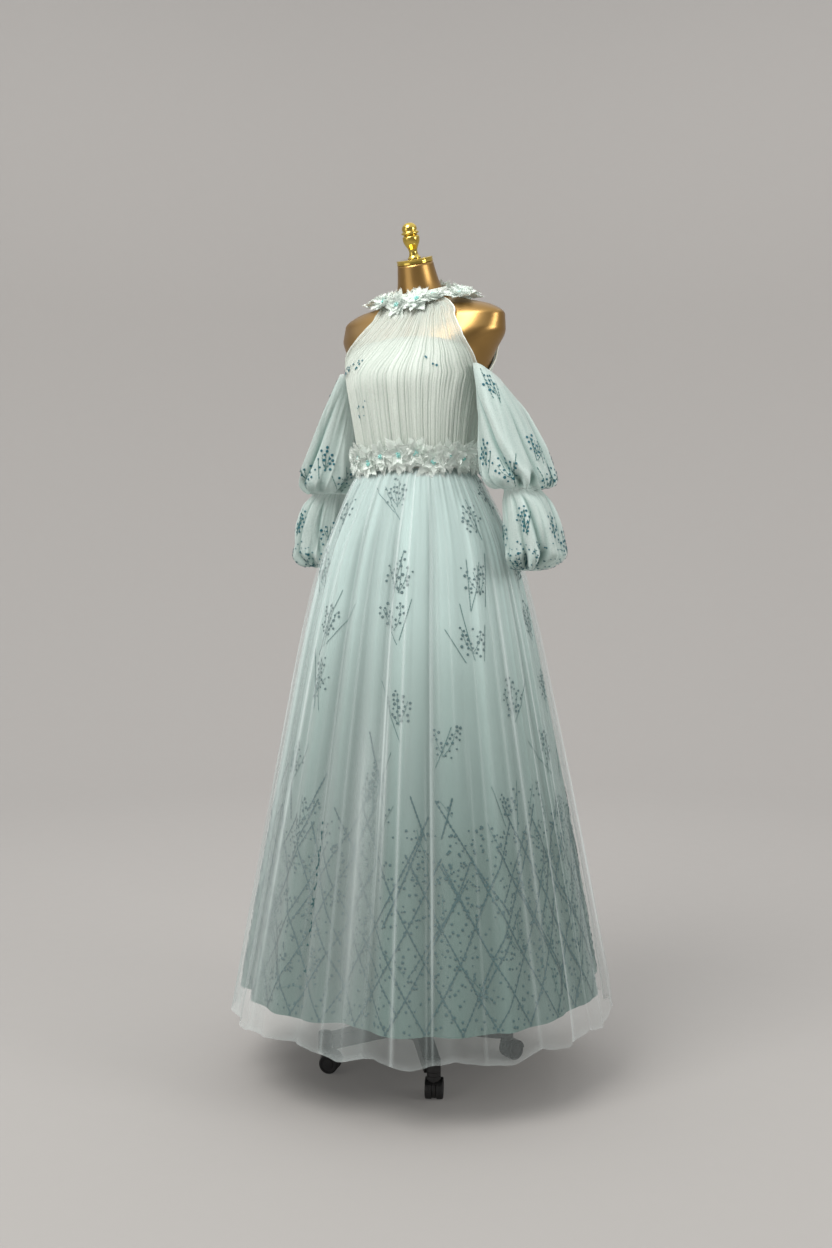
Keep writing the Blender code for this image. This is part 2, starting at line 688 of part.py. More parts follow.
def main():
    clear_scene()
    parts = new_collection("evening_dress_on_form")
    cutters = new_collection("cutters")
    gold = new_material("gold_satin_form", (0.45, 0.27, 0.09), 0.35, 0.6)
    brass = new_material("polished_brass", (0.80, 0.62, 0.12), 0.12, 1.0)
    tulle = new_material("gathered_mint_tulle", (0.72, 0.82, 0.76), 0.75)
    lining = new_material("mint_lining", (0.68, 0.80, 0.75), 0.7)
    petals = new_material("ivory_organza", (0.85, 0.89, 0.85), 0.6)
    overlay = new_material("plain_overlay_tulle", (0.60, 0.72, 0.69), 0.75)
    embroidered = new_material("embroidered_mint_tulle", (0.45, 0.63, 0.60), 0.75)
    steel = new_material("black_painted_steel", (0.012, 0.012, 0.011), 0.4)
    plastic = new_material("black_moulded_plastic", (0.015, 0.015, 0.015), 0.45)
    rubber = new_material("black_caster_rubber", (0.02, 0.02, 0.02), 0.6)
    build_torso(parts, gold)
    build_neck_cap(parts, brass)
    build_bodice(parts, tulle, lining)
    build_band("collar_band", COLLAR_BAND, tulle, parts)
    build_band("waistband", WAISTBAND, tulle, parts)
    build_piping(parts, tulle)
    build_flowers("collar_flower", COLLAR_FLOWERS, COLLAR_BAND, petals, parts)
    build_flowers("waist_flower", WAIST_FLOWERS, WAISTBAND, petals, parts)
    build_skirt(parts, overlay, embroidered)
    build_sleeves(parts, tulle)
    build_stand(parts, cutters, steel, plastic, rubber)


main()
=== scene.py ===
# %% [markdown]
# # A tulle evening dress on its dress form
#
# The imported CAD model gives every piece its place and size. This lesson dresses it:
# sheer cloth, gathers, petal flowers, teal embroidery, satin gold and polished brass.
# The camera stands where the photograph was taken.

import math

import bmesh
import bpy
import numpy as np
from mathutils import Matrix, Vector


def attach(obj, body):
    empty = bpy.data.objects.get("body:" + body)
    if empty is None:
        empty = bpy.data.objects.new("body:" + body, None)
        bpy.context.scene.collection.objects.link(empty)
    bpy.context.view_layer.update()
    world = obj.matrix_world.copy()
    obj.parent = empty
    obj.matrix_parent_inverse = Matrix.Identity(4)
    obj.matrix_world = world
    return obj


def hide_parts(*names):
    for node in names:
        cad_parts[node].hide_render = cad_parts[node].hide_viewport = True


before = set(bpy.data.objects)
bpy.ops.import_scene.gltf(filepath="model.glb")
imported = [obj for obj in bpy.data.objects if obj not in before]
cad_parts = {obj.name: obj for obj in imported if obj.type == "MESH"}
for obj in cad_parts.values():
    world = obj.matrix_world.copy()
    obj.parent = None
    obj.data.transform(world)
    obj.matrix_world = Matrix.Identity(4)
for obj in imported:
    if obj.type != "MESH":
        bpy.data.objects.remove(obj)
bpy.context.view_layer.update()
FIXED = "dress_and_form"  # the body that the form, the dress and the stand belong to

# %% [markdown]
# ## Camera and studio
#
# The photograph shows no corner between floor and wall, so the studio is a round cove:
# a floor that curves up into a wall on all sides. It could also be one curved sheet
# behind the dress, but that would hide the dress from a camera at the back.
# A large soft light stands high on the camera's left, with a weak one lower beside it.
# One more comes from the right and a faint one from overhead. Four lamps above the
# frame wash the wall.

# %% Camera
CAMERA_AZIMUTH_DEG = 35.0
CAMERA_DISTANCE = 3.0
CAMERA_HEIGHT = 1.11
IMAGE_HEIGHT_PX = 1248
FOCAL_PX = 1410
HORIZON_RAISED_PX = 84  # the camera is level and the frame is cut below its middle
AXIS_MOVED_PX = 6.4
SENSOR_MM = 36.0

camera_data = bpy.data.cameras.new("studio_camera")
camera_data.sensor_width = SENSOR_MM
camera_data.lens = FOCAL_PX / IMAGE_HEIGHT_PX * SENSOR_MM
camera_data.shift_x = -AXIS_MOVED_PX / IMAGE_HEIGHT_PX
camera_data.shift_y = -HORIZON_RAISED_PX / IMAGE_HEIGHT_PX
camera = bpy.data.objects.new("studio_camera", camera_data)
bpy.context.scene.collection.objects.link(camera)
azimuth = math.radians(CAMERA_AZIMUTH_DEG)
camera.location = (
    CAMERA_DISTANCE * math.sin(azimuth),
    -CAMERA_DISTANCE * math.cos(azimuth),
    CAMERA_HEIGHT,
)
camera.rotation_euler = (math.radians(90), 0.0, azimuth)
bpy.context.scene.camera = camera
print("lens", round(camera_data.lens, 2), "mm")

# %% Lights
def add_light(name, place, target, size, watts, colour):
    """A square softbox that faces a target."""
    data = bpy.data.lights.new(name, "AREA")
    data.size = size
    data.energy = watts
    data.color = colour
    light = bpy.data.objects.new(name, data)
    bpy.context.scene.collection.objects.link(light)
    light.location = place
    light.rotation_euler = (Vector(target) - Vector(place)).to_track_quat("-Z", "Y").to_euler()
    return light


DRESS_MIDDLE = (0.0, 0.0, 0.95)
add_light("high_softbox", (-0.1, -1.9, 3.5), (0.0, 0.0, 1.3), 1.6, 92, (1.0, 0.985, 0.96))
add_light("front_softbox", (-1.3, -3.5, 1.6), (0.0, 0.0, 0.3), 2.4, 20, (1.0, 0.99, 0.98))
add_light("right_softbox", (3.0, 0.2, 2.0), (0.0, 0.0, 1.4), 1.2, 36, (1.0, 0.99, 0.97))
add_light("overhead_softbox", (0.0, 0.5, 3.8), DRESS_MIDDLE, 3.2, 6, (1.0, 1.0, 1.0))
WALL_WASHERS_DEG = (50, 100, 150, 200)  # the wall behind the dress; the rest stays darker
WASHER_REACH = 2.6
WASHER_HEIGHT = 4.4
WASHER_SIZE = 1.6
WASHER_WATTS = 48
WASHER_WHITE = (1.0, 0.99, 0.985)
WALL_REACH = 5.8
WASHED_HEIGHT = 1.4
for number, degrees in enumerate(WALL_WASHERS_DEG):
    angle = math.radians(degrees)
    side = Vector((math.cos(angle), math.sin(angle), 0.0))
    place = side * WASHER_REACH + Vector((0.0, 0.0, WASHER_HEIGHT))
    target = side * WALL_REACH + Vector((0.0, 0.0, WASHED_HEIGHT))
    washer = add_light(f"wall_washer_{number + 1}", place, target, WASHER_SIZE, WASHER_WATTS, WASHER_WHITE)
    washer.visible_camera = False

world = bpy.data.worlds.new("studio_room")
bpy.context.scene.world = world
world.use_nodes = True
world.node_tree.nodes["Background"].inputs["Color"].default_value = (0.80, 0.81, 0.82, 1.0)
world.node_tree.nodes["Background"].inputs["Strength"].default_value = 1.0
bpy.context.scene.view_settings.view_transform = "Standard"

# %% [markdown]
# ## Materials
#
# One function turns a hex colour to linear values, and one adds a node. Tulle is a net
# of fine thread: what one sees is part thread and part what lies behind it, so its
# alpha is the share of thread. Where it is gathered, several folds lie over each other
# and it looks denser. Each piece of cloth stores that as a value named `gathered`.
# A second value darkens the cloth's colour in the troughs of its folds, as painted shade.

# %% Colour and node helpers
def linear(code, alpha=1.0):
    """An sRGB hex colour as linear RGBA."""
    channels = [int(code[i : i + 2], 16) / 255 for i in (1, 3, 5)]
    return (*((c / 12.92 if c <= 0.04045 else ((c + 0.055) / 1.055) ** 2.4) for c in channels), alpha)


def add(tree, kind, links=None, inputs=None, **settings):
    """Adds a node, sets it up and links its inputs to the outputs given."""
    made = tree.nodes.new(kind)
    for name, value in settings.items():
        setattr(made, name, value)
    for name, value in (inputs or {}).items():
        made.inputs[name].default_value = value
    for name, source in (links or {}).items():
        tree.links.new(source, made.inputs[name])
    return made


def new_finish(name, colour, roughness, **inputs):
    """A node material with the shader's own values set."""
    made = bpy.data.materials.new(name)
    made.use_nodes = True
    shader = made.node_tree.nodes["Principled BSDF"]
    shader.inputs["Base Color"].default_value = linear(colour)
    shader.inputs["Roughness"].default_value = roughness
    for key, value in inputs.items():
        shader.inputs[key.replace("_", " ")].default_value = value
    return made, made.node_tree, shader


# %% Tulle
# Nylon tulle: matte thread with holes of about 1.5 mm. The net is drawn at 3 mm so
# that it still shows at this distance.
TULLE_CELL_MM = 3.0


def new_tulle(name, ridge_colour, trough_colour, thin, dense, roughness=0.75):
    """Tulle that goes from thin to dense as it gathers, and darker in its fold troughs: painted shade."""
    made, tree, shader = new_finish(name, ridge_colour, roughness, Sheen_Weight=0.25, Sheen_Roughness=0.4)
    shader.inputs["Specular IOR Level"].default_value = 0.2
    place = add(tree, "ShaderNodeTexCoord").outputs["Object"]
    net = add(
        tree,
        "ShaderNodeTexVoronoi",
        {"Vector": place},
        {"Scale": 1000 / TULLE_CELL_MM},
        feature="DISTANCE_TO_EDGE",
    )
    thread = add(
        tree,
        "ShaderNodeMapRange",
        {"Value": net.outputs["Distance"]},
        {"From Max": 0.35, "To Min": 1.12, "To Max": 0.9},
    )
    drift = add(tree, "ShaderNodeTexNoise", {"Vector": place}, {"Scale": 9.0, "Detail": 3.0})
    gathered = add(tree, "ShaderNodeAttribute", attribute_name="gathered").outputs["Fac"]
    share = add(tree, "ShaderNodeMapRange", {"Value": gathered}, {"To Min": thin, "To Max": dense})
    wavy = add(tree, "ShaderNodeMapRange", {"Value": drift.outputs["Fac"]}, {"To Min": 0.86, "To Max": 1.14})
    cover = add(
        tree,
        "ShaderNodeMath",
        {0: share.outputs["Result"], 1: wavy.outputs["Result"]},
        operation="MULTIPLY",
    )
    alpha = add(
        tree,
        "ShaderNodeMath",
        {0: cover.outputs[0], 1: thread.outputs["Result"]},
        operation="MULTIPLY",
        use_clamp=True,
    )
    # Painted shade: the colour turns to the darker second colour where the piece's trough value is high, in
    # its fold troughs.
    shade = add(tree, "ShaderNodeAttribute", attribute_name="trough").outputs["Fac"]
    tint = add(tree, "ShaderNodeMix", {0: shade}, data_type="RGBA")
    tint.inputs[6].default_value = linear(ridge_colour)
    tint.inputs[7].default_value = linear(trough_colour)
    tree.links.new(tint.outputs[2], shader.inputs["Base Color"])
    tree.links.new(alpha.outputs[0], shader.inputs["Alpha"])
    return made


# The second colour of each tulle is its painted shade in the troughs of its folds.
bodice_tulle = new_tulle("gathered_ivory_tulle", "#F1F6EE", "#98A79D", 0.32, 0.90)
overlay_tulle = new_tulle("sheer_overlay_tulle", "#DCE6E5", "#C9D6D4", 0.10, 0.82)
sleeve_tulle = new_tulle("mint_sleeve_tulle", "#C8D8D3", "#8FA8A2", 0.58, 0.96)
print("tulles", [made.name for made in (bodice_tulle, overlay_tulle, sleeve_tulle)])

# %% Opaque cloth
# Skirt layers sewn over a lining: woven thread too close to see through, with a faint
# grain at a 0.5 mm thread spacing, drawn at 1.2 mm.
THREAD_MM = 1.2


def new_woven(name, height_tones, painted_shade_depth, roughness=0.8):
    """Matte cloth with a fine weave. A list gives heights with the colour there, from the hem
    up, and a number gives how much darker its fold troughs are painted, as painted shade."""
    made, tree, shader = new_finish(name, height_tones[-1][1], roughness, Sheen_Weight=0.2, Sheen_Roughness=0.5)
    shader.inputs["Specular IOR Level"].default_value = 0.2
    place = add(tree, "ShaderNodeTexCoord").outputs["Object"]
    grain = add(tree, "ShaderNodeTexNoise", {"Vector": place}, {"Scale": 1000 / THREAD_MM, "Detail": 1.0})
    drift = add(tree, "ShaderNodeTexNoise", {"Vector": place}, {"Scale": 5.0, "Detail": 4.0})
    # Painted shade: the colour is darkened by the piece's trough value, in its fold troughs, with a random
    # drift added.
    shade = add(tree, "ShaderNodeAttribute", attribute_name="trough").outputs["Fac"]
    wander = add(
        tree, "ShaderNodeMapRange", {"Value": drift.outputs["Fac"]}, {"To Min": -0.25, "To Max": 0.25}
    )
    amount = add(
        tree, "ShaderNodeMath", {0: shade, 1: wander.outputs["Result"]}, operation="ADD", use_clamp=True
    )
    height = add(tree, "ShaderNodeSeparateXYZ", {"Vector": place})
    ramp = add(tree, "ShaderNodeValToRGB", {"Fac": height.outputs["Z"]})
    while len(ramp.color_ramp.elements) < len(height_tones):
        ramp.color_ramp.elements.new(0.5)
    for stop, (level, colour) in zip(ramp.color_ramp.elements, height_tones):
        stop.position, stop.color = level, linear(colour)
    depth = add(
        tree, "ShaderNodeMapRange", {"Value": amount.outputs[0]}, {"To Min": 1.0, "To Max": 1 - painted_shade_depth}
    )
    tint = add(tree, "ShaderNodeVectorMath", {0: ramp.outputs["Color"]}, operation="SCALE")
    tree.links.new(depth.outputs["Result"], tint.inputs["Scale"])
    tree.links.new(tint.outputs["Vector"], shader.inputs["Base Color"])
    bump = add(
        tree, "ShaderNodeBump", {"Height": grain.outputs["Fac"]}, {"Strength": 0.15, "Distance": 0.0004}
    )
    tree.links.new(bump.outputs["Normal"], shader.inputs["Normal"])
    return made


# Heights in metres: the skirt's cloth is darker towards its hem.
skirt_cloth = new_woven(
    "aqua_skirt_layers",
    ((0.17, "#5E7872"), (0.48, "#637C76"), (0.60, "#7A918C"), (0.80, "#94AAA5"), (0.98, "#AFC5C1")),
    0.42,
)
lining_cloth = new_woven("mint_bodice_lining", ((0.5, "#D5E2DB"), (0.9, "#D5E2DB")), 0.2)

# %% Petals, beads and thread
# Crisp organza petals, glass-like aqua beads, and matte viscose embroidery thread.
# The petals' second colour is their painted shade between the pleats.
petal_cloth = new_tulle("pleated_ivory_organza", "#EEF4EE", "#A9BDB3", 0.66, 0.94, 0.6)
petal_shader = petal_cloth.node_tree.nodes["Principled BSDF"]
petal_shader.inputs["Emission Color"].default_value = linear("#EAF4EE")
petal_shader.inputs["Emission Strength"].default_value = 0.07  # painted glow, standing in for light that passes through the thin organza


def new_fine_grain(name, colour, roughness, grain_mm, depth_mm, **inputs):
    """A plain finish with a fine surface grain and slightly uneven gloss."""
    made, tree, shader = new_finish(name, colour, roughness, **inputs)
    place = add(tree, "ShaderNodeTexCoord").outputs["Object"]
    grain = add(tree, "ShaderNodeTexNoise", {"Vector": place}, {"Scale": 1000 / grain_mm, "Detail": 1.0})
    bump = add(
        tree,
        "ShaderNodeBump",
        {"Height": grain.outputs["Fac"]},
        {"Strength": 0.4, "Distance": depth_mm / 1000},
    )
    tree.links.new(bump.outputs["Normal"], shader.inputs["Normal"])
    wear = add(tree, "ShaderNodeTexNoise", {"Vector": place}, {"Scale": 22.0, "Detail": 2.0})
    gloss = add(
        tree,
        "ShaderNodeMapRange",
        {"Value": wear.outputs["Fac"]},
        {"To Min": max(0.03, roughness - 0.06), "To Max": roughness + 0.08},
    )
    tree.links.new(gloss.outputs["Result"], shader.inputs["Roughness"])
    return made


aqua_beads = new_fine_grain("aqua_glass_beads", "#8FD3CC", 0.15, 0.8, 0.02, IOR=1.5, Coat_Weight=0.6)
teal_thread = new_fine_grain("deep_teal_thread", "#0D5865", 0.6, 0.5, 0.05)
green_thread = new_fine_grain("sea_green_thread", "#28605E", 0.65, 0.5, 0.05)
petrol_thread = new_fine_grain("petrol_thread", "#08494C", 0.6, 0.5, 0.05)

# %% Form, brass and stand
# The form is glass fibre sprayed with satin gold: broad soft highlights and a fine
# orange-peel. Its cap and finial are polished brass. The stand is steel with a satin
# black paint, on moulded nylon casters.
satin_gold = new_fine_grain("satin_gold_lacquer", "#A5834F", 0.33, 1.4, 0.006, Metallic=1.0)
brass = new_fine_grain("polished_brass", "#D8BC5E", 0.10, 6.0, 0.004, Metallic=1.0)
black_paint = new_fine_grain("satin_black_paint", "#161615", 0.38, 0.9, 0.02)
black_nylon = new_fine_grain("moulded_black_nylon", "#1A1A1B", 0.45, 0.7, 0.03)
caster_tread = new_fine_grain("black_caster_tread", "#202021", 0.62, 0.6, 0.04)
studio_paint = new_fine_grain("pale_studio_paint", "#9A9794", 0.9, 4.0, 0.02)
paint_shader = studio_paint.node_tree.nodes["Principled BSDF"]
paint_shader.inputs["Emission Color"].default_value = linear("#F4F2EF")
paint_shader.inputs["Emission Strength"].default_value = 0.065  # light from the room around the cove
print("materials", len(bpy.data.materials))

# %% [markdown]
# ## Surfaces from a few sections
#
# Each cloth follows the form's own sections, as in the CAD. A table gives the sections,
# and a smooth curve runs between its rows, so one function yields a point anywhere on
# the body. Sculpting would give softer shapes, but a function puts each layer at its
# own distance from the form.

# %% Smooth curve between a table's rows
def along(rows, level):
    """Values between the rows of a table, on a curve that never overshoots them."""
    rows = np.asarray(rows, float)
    step = np.diff(rows, axis=0)
    before, after = step[:-1], step[1:]
    rising = before * after > 0
    inner = np.where(rising, 2 * before * after / np.where(rising, before + after, 1.0), 0.0)
    slope = np.vstack((step[:1], inner, step[-1:]))
    level = np.clip(np.asarray(level, float), 0, len(rows) - 1)
    low = np.minimum(level.astype(int), len(rows) - 2)
    part = (level - low)[..., None]
    return (
        rows[low] * (1 + 2 * part) * (1 - part) ** 2
        + slope[low] * part * (1 - part) ** 2
        + rows[low + 1] * part**2 * (3 - 2 * part)
        + slope[low + 1] * part**2 * (part - 1)
    )


def level_at(height, rows):
    """The level in a table at which its first column has the height given."""
    fine = np.linspace(0, len(rows) - 1, 2000)
    heights = along(rows, fine)[:, 0]
    order = np.argsort(heights)
    return np.interp(height, heights[order], fine[order])


# %% Sections of the form
# Columns: height, half width, front depth, back depth, centre y, tilt in degrees,
# squareness (2 is an ellipse).
FORM_SECTIONS = np.array((
    (0.900, 0.138, 0.096, 0.108, -0.012, 0, 2.2),
    (0.975, 0.160, 0.108, 0.124, -0.010, 0, 2.2),
    (1.060, 0.166, 0.114, 0.126, -0.010, 0, 2.2),
    (1.150, 0.148, 0.104, 0.108, -0.014, 0, 2.2),
    (1.210, 0.128, 0.093, 0.090, -0.018, 0, 2.2),
    (1.256, 0.119, 0.087, 0.082, -0.020, 0, 2.2),
    (1.325, 0.123, 0.096, 0.084, -0.019, 0, 2.2),
    (1.390, 0.138, 0.120, 0.090, -0.015, 0, 2.2),
    (1.445, 0.150, 0.132, 0.095, -0.010, 0, 2.2),
    (1.500, 0.172, 0.112, 0.094, -0.004, 0, 2.2),
    (1.545, 0.198, 0.088, 0.088, 0.000, 0, 2.2),
    (1.575, 0.198, 0.070, 0.078, 0.001, 2, 2.2),
    (1.598, 0.165, 0.058, 0.066, 0.001, 5, 2.2),
    (1.612, 0.105, 0.053, 0.060, -0.003, 12, 2.1),
    (1.622, 0.060, 0.050, 0.056, -0.008, 17, 2.0),
    (1.650, 0.0455, 0.044, 0.046, -0.015, 17, 2.0),
    (1.694, 0.0378, 0.0378, 0.0378, -0.0265, 17, 2.0),
))
# The dress touches these: waist, under the bust, bust, chest and up to the collar.
DRESS_SECTIONS = FORM_SECTIONS[[5, 7, 8, 9, 10, 11, 12, 13, 14, 15]]


def oval(turn, half_width, front, back, square):
    """A rounded section seen from above, as x and y."""
    across, ahead = np.cos(turn), np.sin(turn)
    power = 2.0 / square
    depth = np.where(ahead < 0, front, back)
    x = half_width * np.sign(across) * np.abs(across) ** power
    y = depth * np.sign(ahead) * np.abs(ahead) ** power
    return x, y


def body_ring(sections, level, turn):
    """Points on the form at a level and a turn, both arrays."""
    level, turn = np.broadcast_arrays(np.asarray(level, float), np.asarray(turn, float))
    height, width, front, back, centre_y, tilt, square = np.moveaxis(along(sections, level), -1, 0)
    x, y = oval(turn, width, front, back, square)
    lean = np.radians(tilt)
    return np.stack((x, centre_y + y * np.cos(lean), height + y * np.sin(lean)), axis=-1)


def outward(surface, level, turn, top):
    """Unit normals of a surface given as a function of level and turn."""
    turn_step, level_step = math.radians(1.5), 0.02
    around = surface(level, turn + turn_step) - surface(level, turn - turn_step)
    above = surface(np.minimum(level + level_step, top), turn)
    below = surface(np.maximum(level - level_step, 0), turn)
    normal = np.cross(around, above - below)
    return normal / np.linalg.norm(normal, axis=-1, keepdims=True)


def dress_surface(level, turn, offset=0.0):
    """A point of the dress, moved out from the form by offset."""
    level, turn, offset = np.broadcast_arrays(level, turn, offset)

    def bare(a, b):
        return body_ring(DRESS_SECTIONS, a, b)

    normal = outward(bare, level, turn, len(DRESS_SECTIONS) - 1)
    return bare(level, turn) + normal * offset[..., None]


print("waist half width", round(float(dress_surface(0.0, 0.0)[0]), 4))

# %% Turning points into pieces
def grid_quads(rows, columns, closed):
    """Quads of a grid of points, whose rows go up and whose columns go round."""
    last = columns if closed else columns - 1
    row, column = np.meshgrid(np.arange(rows - 1), np.arange(last), indexing="ij")
    right = (column + 1) % columns
    low, high = row * columns, (row + 1) * columns
    corners = (low + column, low + right, high + right, high + column)
    return np.stack(corners, axis=-1).reshape(-1, 4)


def new_piece(name, points, faces, finish, body=FIXED, **values):
    """A smooth mesh that rides on a body. values are stored for its material."""
    mesh = bpy.data.meshes.new(name)
    mesh.from_pydata(np.asarray(points).reshape(-1, 3).tolist(), [], [list(map(int, face)) for face in faces])
    mesh.materials.append(finish)
    mesh.shade_smooth()
    for key, array in values.items():
        layer = mesh.attributes.new(key, "FLOAT", "POINT")
        layer.data.foreach_set("value", np.asarray(array, np.float32).ravel())
    piece = bpy.data.objects.new(name, mesh)
    bpy.context.scene.collection.objects.link(piece)
    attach(piece, body)
    return piece


def cloth_piece(name, points, closed, finish, **values):
    """A thin sheet from a grid of points."""
    rows, columns = points.shape[:2]
    return new_piece(name, points, grid_quads(rows, columns, closed), finish, **values)


# %% [markdown]
# ## Studio cove
#
# A profile turned all the way round: flat floor, a curve, then an upright wall.

# %% Studio cove
COVE_FLOOR = 3.3
COVE_CURVE = 2.5
COVE_TOP = 5.0
COVE_SIDES = 96

quarter = np.radians(np.linspace(0, 90, 16))
profile = [(0.02, 0.0), (COVE_FLOOR * 0.5, 0.0)]
profile += [(COVE_FLOOR + COVE_CURVE * math.sin(a), COVE_CURVE * (1 - math.cos(a))) for a in quarter]
profile += [(COVE_FLOOR + COVE_CURVE, COVE_TOP)]
ring = np.linspace(0, math.tau, COVE_SIDES, endpoint=False)
cove_points = np.array([[(r * math.cos(a), r * math.sin(a), z) for a in ring] for r, z in profile])
cove_faces = grid_quads(len(profile), COVE_SIDES, True)[:, ::-1].tolist() + [list(range(COVE_SIDES))]
cove_mesh = bpy.data.meshes.new("studio_cove")
cove_mesh.from_pydata(cove_points.reshape(-1, 3).tolist(), [], cove_faces)
cove_mesh.materials.append(studio_paint)
cove_mesh.shade_smooth()
cove = bpy.data.objects.new("studio_cove", cove_mesh)
bpy.context.scene.collection.objects.link(cove)

# %% [markdown]
# ## The gold form
#
# A limbless form: hips, waist, bust, rounded shoulder caps and a neck that leans
# forward. It is one smooth shell, so a fine grid over the same sections does it better
# than a subdivided box, which would soften the waist.

# %% Gold form
FORM_COLUMNS = 128
FORM_ROWS = 150

level = np.linspace(0, len(FORM_SECTIONS) - 1, FORM_ROWS)[:, None]
turn = np.linspace(0, math.tau, FORM_COLUMNS, endpoint=False)[None, :]
form_points = body_ring(FORM_SECTIONS, level, turn)
form_faces = grid_quads(FORM_ROWS, FORM_COLUMNS, True).tolist()
form_faces.append(list(reversed(range(FORM_COLUMNS))))
form_faces.append(list(range((FORM_ROWS - 1) * FORM_COLUMNS, FORM_ROWS * FORM_COLUMNS)))
form = new_piece("gold_form", form_points, form_faces, satin_gold)
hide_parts("form_torso")
print("form faces", len(form_faces))

# %% [markdown]
# ## Brass neck cap and finial
#
# Both are turned on a lathe, so each is a profile spun about its axis. The spun mesh is
# placed on the neck's leaning top face.

# %% Brass cap and finial
TURNED_STEPS = 64
NECK_TILT_DEG = 17.0
NECK_TOP = Vector((0.0, -0.0265, 1.694))
CAP_GAP = 0.0003
CAP_THICKNESS = 0.0100
neck_frame = Matrix.Translation(NECK_TOP) @ Matrix.Rotation(math.radians(NECK_TILT_DEG), 4, "X")


def spun_piece(name, profile, steps, finish, place, body=FIXED):
    """A turned piece: rows of (radius, height) from the bottom up, spun about local Z."""
    ring = np.linspace(0, math.tau, steps, endpoint=False)
    rows = [[(r * math.cos(a), r * math.sin(a), z) for a in ring] for r, z in profile]
    points = np.array(rows).reshape(-1, 3)
    faces = grid_quads(len(profile), steps, True).tolist()
    faces.append(list(reversed(range(steps))))
    faces.append(list(range(len(points) - steps, len(points))))
    turned = np.array([place @ Vector(point) for point in points])
    piece = new_piece(name, turned, faces, finish, body)
    piece.data.set_sharp_from_angle(angle=math.radians(38))
    return piece


CAP_PROFILE = (
    (0.0372, 0.0), (0.0385, 0.0008), (0.0385, 0.0024), (0.0381, 0.0030), (0.0381, 0.0070),
    (0.0385, 0.0076), (0.0385, 0.0092), (0.0377, 0.0100), (0.0150, 0.0100), (0.0010, 0.0100),
)
cap_place = neck_frame @ Matrix.Translation((0, 0, CAP_GAP))
cap = spun_piece("brass_neck_cap", CAP_PROFILE, TURNED_STEPS, brass, cap_place)
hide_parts("form_neck_cap")

# Radius and height of the finial: foot, vase, bead, collar ring and dome.
FINIAL_STEPS = np.array((
    (0.0138, 0.0003), (0.0140, 0.0020), (0.0122, 0.0042), (0.0100, 0.0080), (0.0088, 0.0140),
    (0.0096, 0.0190), (0.0124, 0.0250), (0.0160, 0.0320), (0.0176, 0.0375), (0.0180, 0.0430),
    (0.0168, 0.0468), (0.0140, 0.0490), (0.0152, 0.0506), (0.0182, 0.0520), (0.0186, 0.0538),
    (0.0180, 0.0556), (0.0158, 0.0568), (0.0150, 0.0585), (0.0160, 0.0605), (0.0158, 0.0640),
    (0.0142, 0.0682), (0.0108, 0.0722), (0.0060, 0.0748), (0.0006, 0.0755),
))
FINIAL_ROWS = 110
finial_profile = along(FINIAL_STEPS, np.linspace(0, len(FINIAL_STEPS) - 1, FINIAL_ROWS))
finial_place = neck_frame @ Matrix.Translation((0, 0, CAP_GAP + CAP_THICKNESS))
finial = spun_piece("brass_finial", finial_profile, TURNED_STEPS, brass, finial_place)
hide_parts("form_finial")
print("finial height", round(float(finial_profile[-1][1]), 4))

# %% [markdown]
# ## Bodice
#
# Tulle is gathered into the collar and the waist, so fine ridges run from one to the
# other and fan out over the bust. Every gather has its own width, and its strength
# comes and goes along its length. Cloth simulation rarely keeps gathers this fine, so
# they are rows of small ridges on the body's surface.

# %% Reach of the bodice panels
# Columns: level, half reach of the front and of the back in degrees, and how far the
# front is drawn towards the form's left.
HALTER_REACH = np.array((
    (0.024, 90, 90, 0), (1.0, 90, 90, 0), (2.0, 90, 90, 0), (2.5, 75, 74, 3), (2.75, 66, 67, 5),
    (3.0, 58, 60, 6), (3.25, 50, 55, 7), (3.5, 42, 50, 8), (4.0, 34, 42, 8), (5.0, 28, 37, 8),
    (6.0, 30, 36, 8), (7.0, 46, 45, 7), (8.0, 70, 68, 0),
))
FRONT, BACK, PULL = 1, 2, 3  # columns of that table
FRONT_TURN = math.radians(270)
BACK_TURN = math.radians(90)
SEAM_GAP_DEG = 0.08


def halter_turn(level, column, across):
    """The turn at a level, for across from -1 to 1 over the front or back panel."""
    row = np.interp(level, HALTER_REACH[:, 0], np.arange(len(HALTER_REACH)))
    values = np.radians(along(HALTER_REACH, row))
    half = values[..., column] - math.radians(SEAM_GAP_DEG)
    if column == FRONT:
        return FRONT_TURN + values[..., PULL] + half * across
    return BACK_TURN + half * across


# %% Gathers
def gathers(across, level, count, seed):
    """Ridges of uneven width side by side: 0 in a trough, 1 on a ridge."""
    rng = np.random.default_rng(seed)
    widths = rng.uniform(0.55, 1.45, count)
    edges = np.concatenate(([0.0], np.cumsum(widths))) / widths.sum()
    rate, start = rng.uniform(0.5, 1.7, count), rng.uniform(0, math.tau, count)
    lean = rng.uniform(-1, 1, count) * 0.16 / count
    place = np.clip((across + 1) / 2, 0, 1)
    number = np.clip(np.searchsorted(edges, place, side="right") - 1, 0, count - 1)
    wander = place + lean[number] * np.sin(level * 1.3 + start[number])
    part = np.clip((wander - edges[number]) / (edges[number + 1] - edges[number]), 0, 1)
    strength = 0.78 + 0.22 * np.sin(level * rate[number] + start[number])
    return np.sin(math.pi * part) ** 0.6 * strength


BODICE_TROUGH = 0.0050
COARSE_DEPTH = 0.0030
FINE_DEPTH = 0.0011
BODICE_ROWS = 64
PANEL_LEVELS = np.linspace(HALTER_REACH[0, 0], HALTER_REACH[-1, 0], BODICE_ROWS)


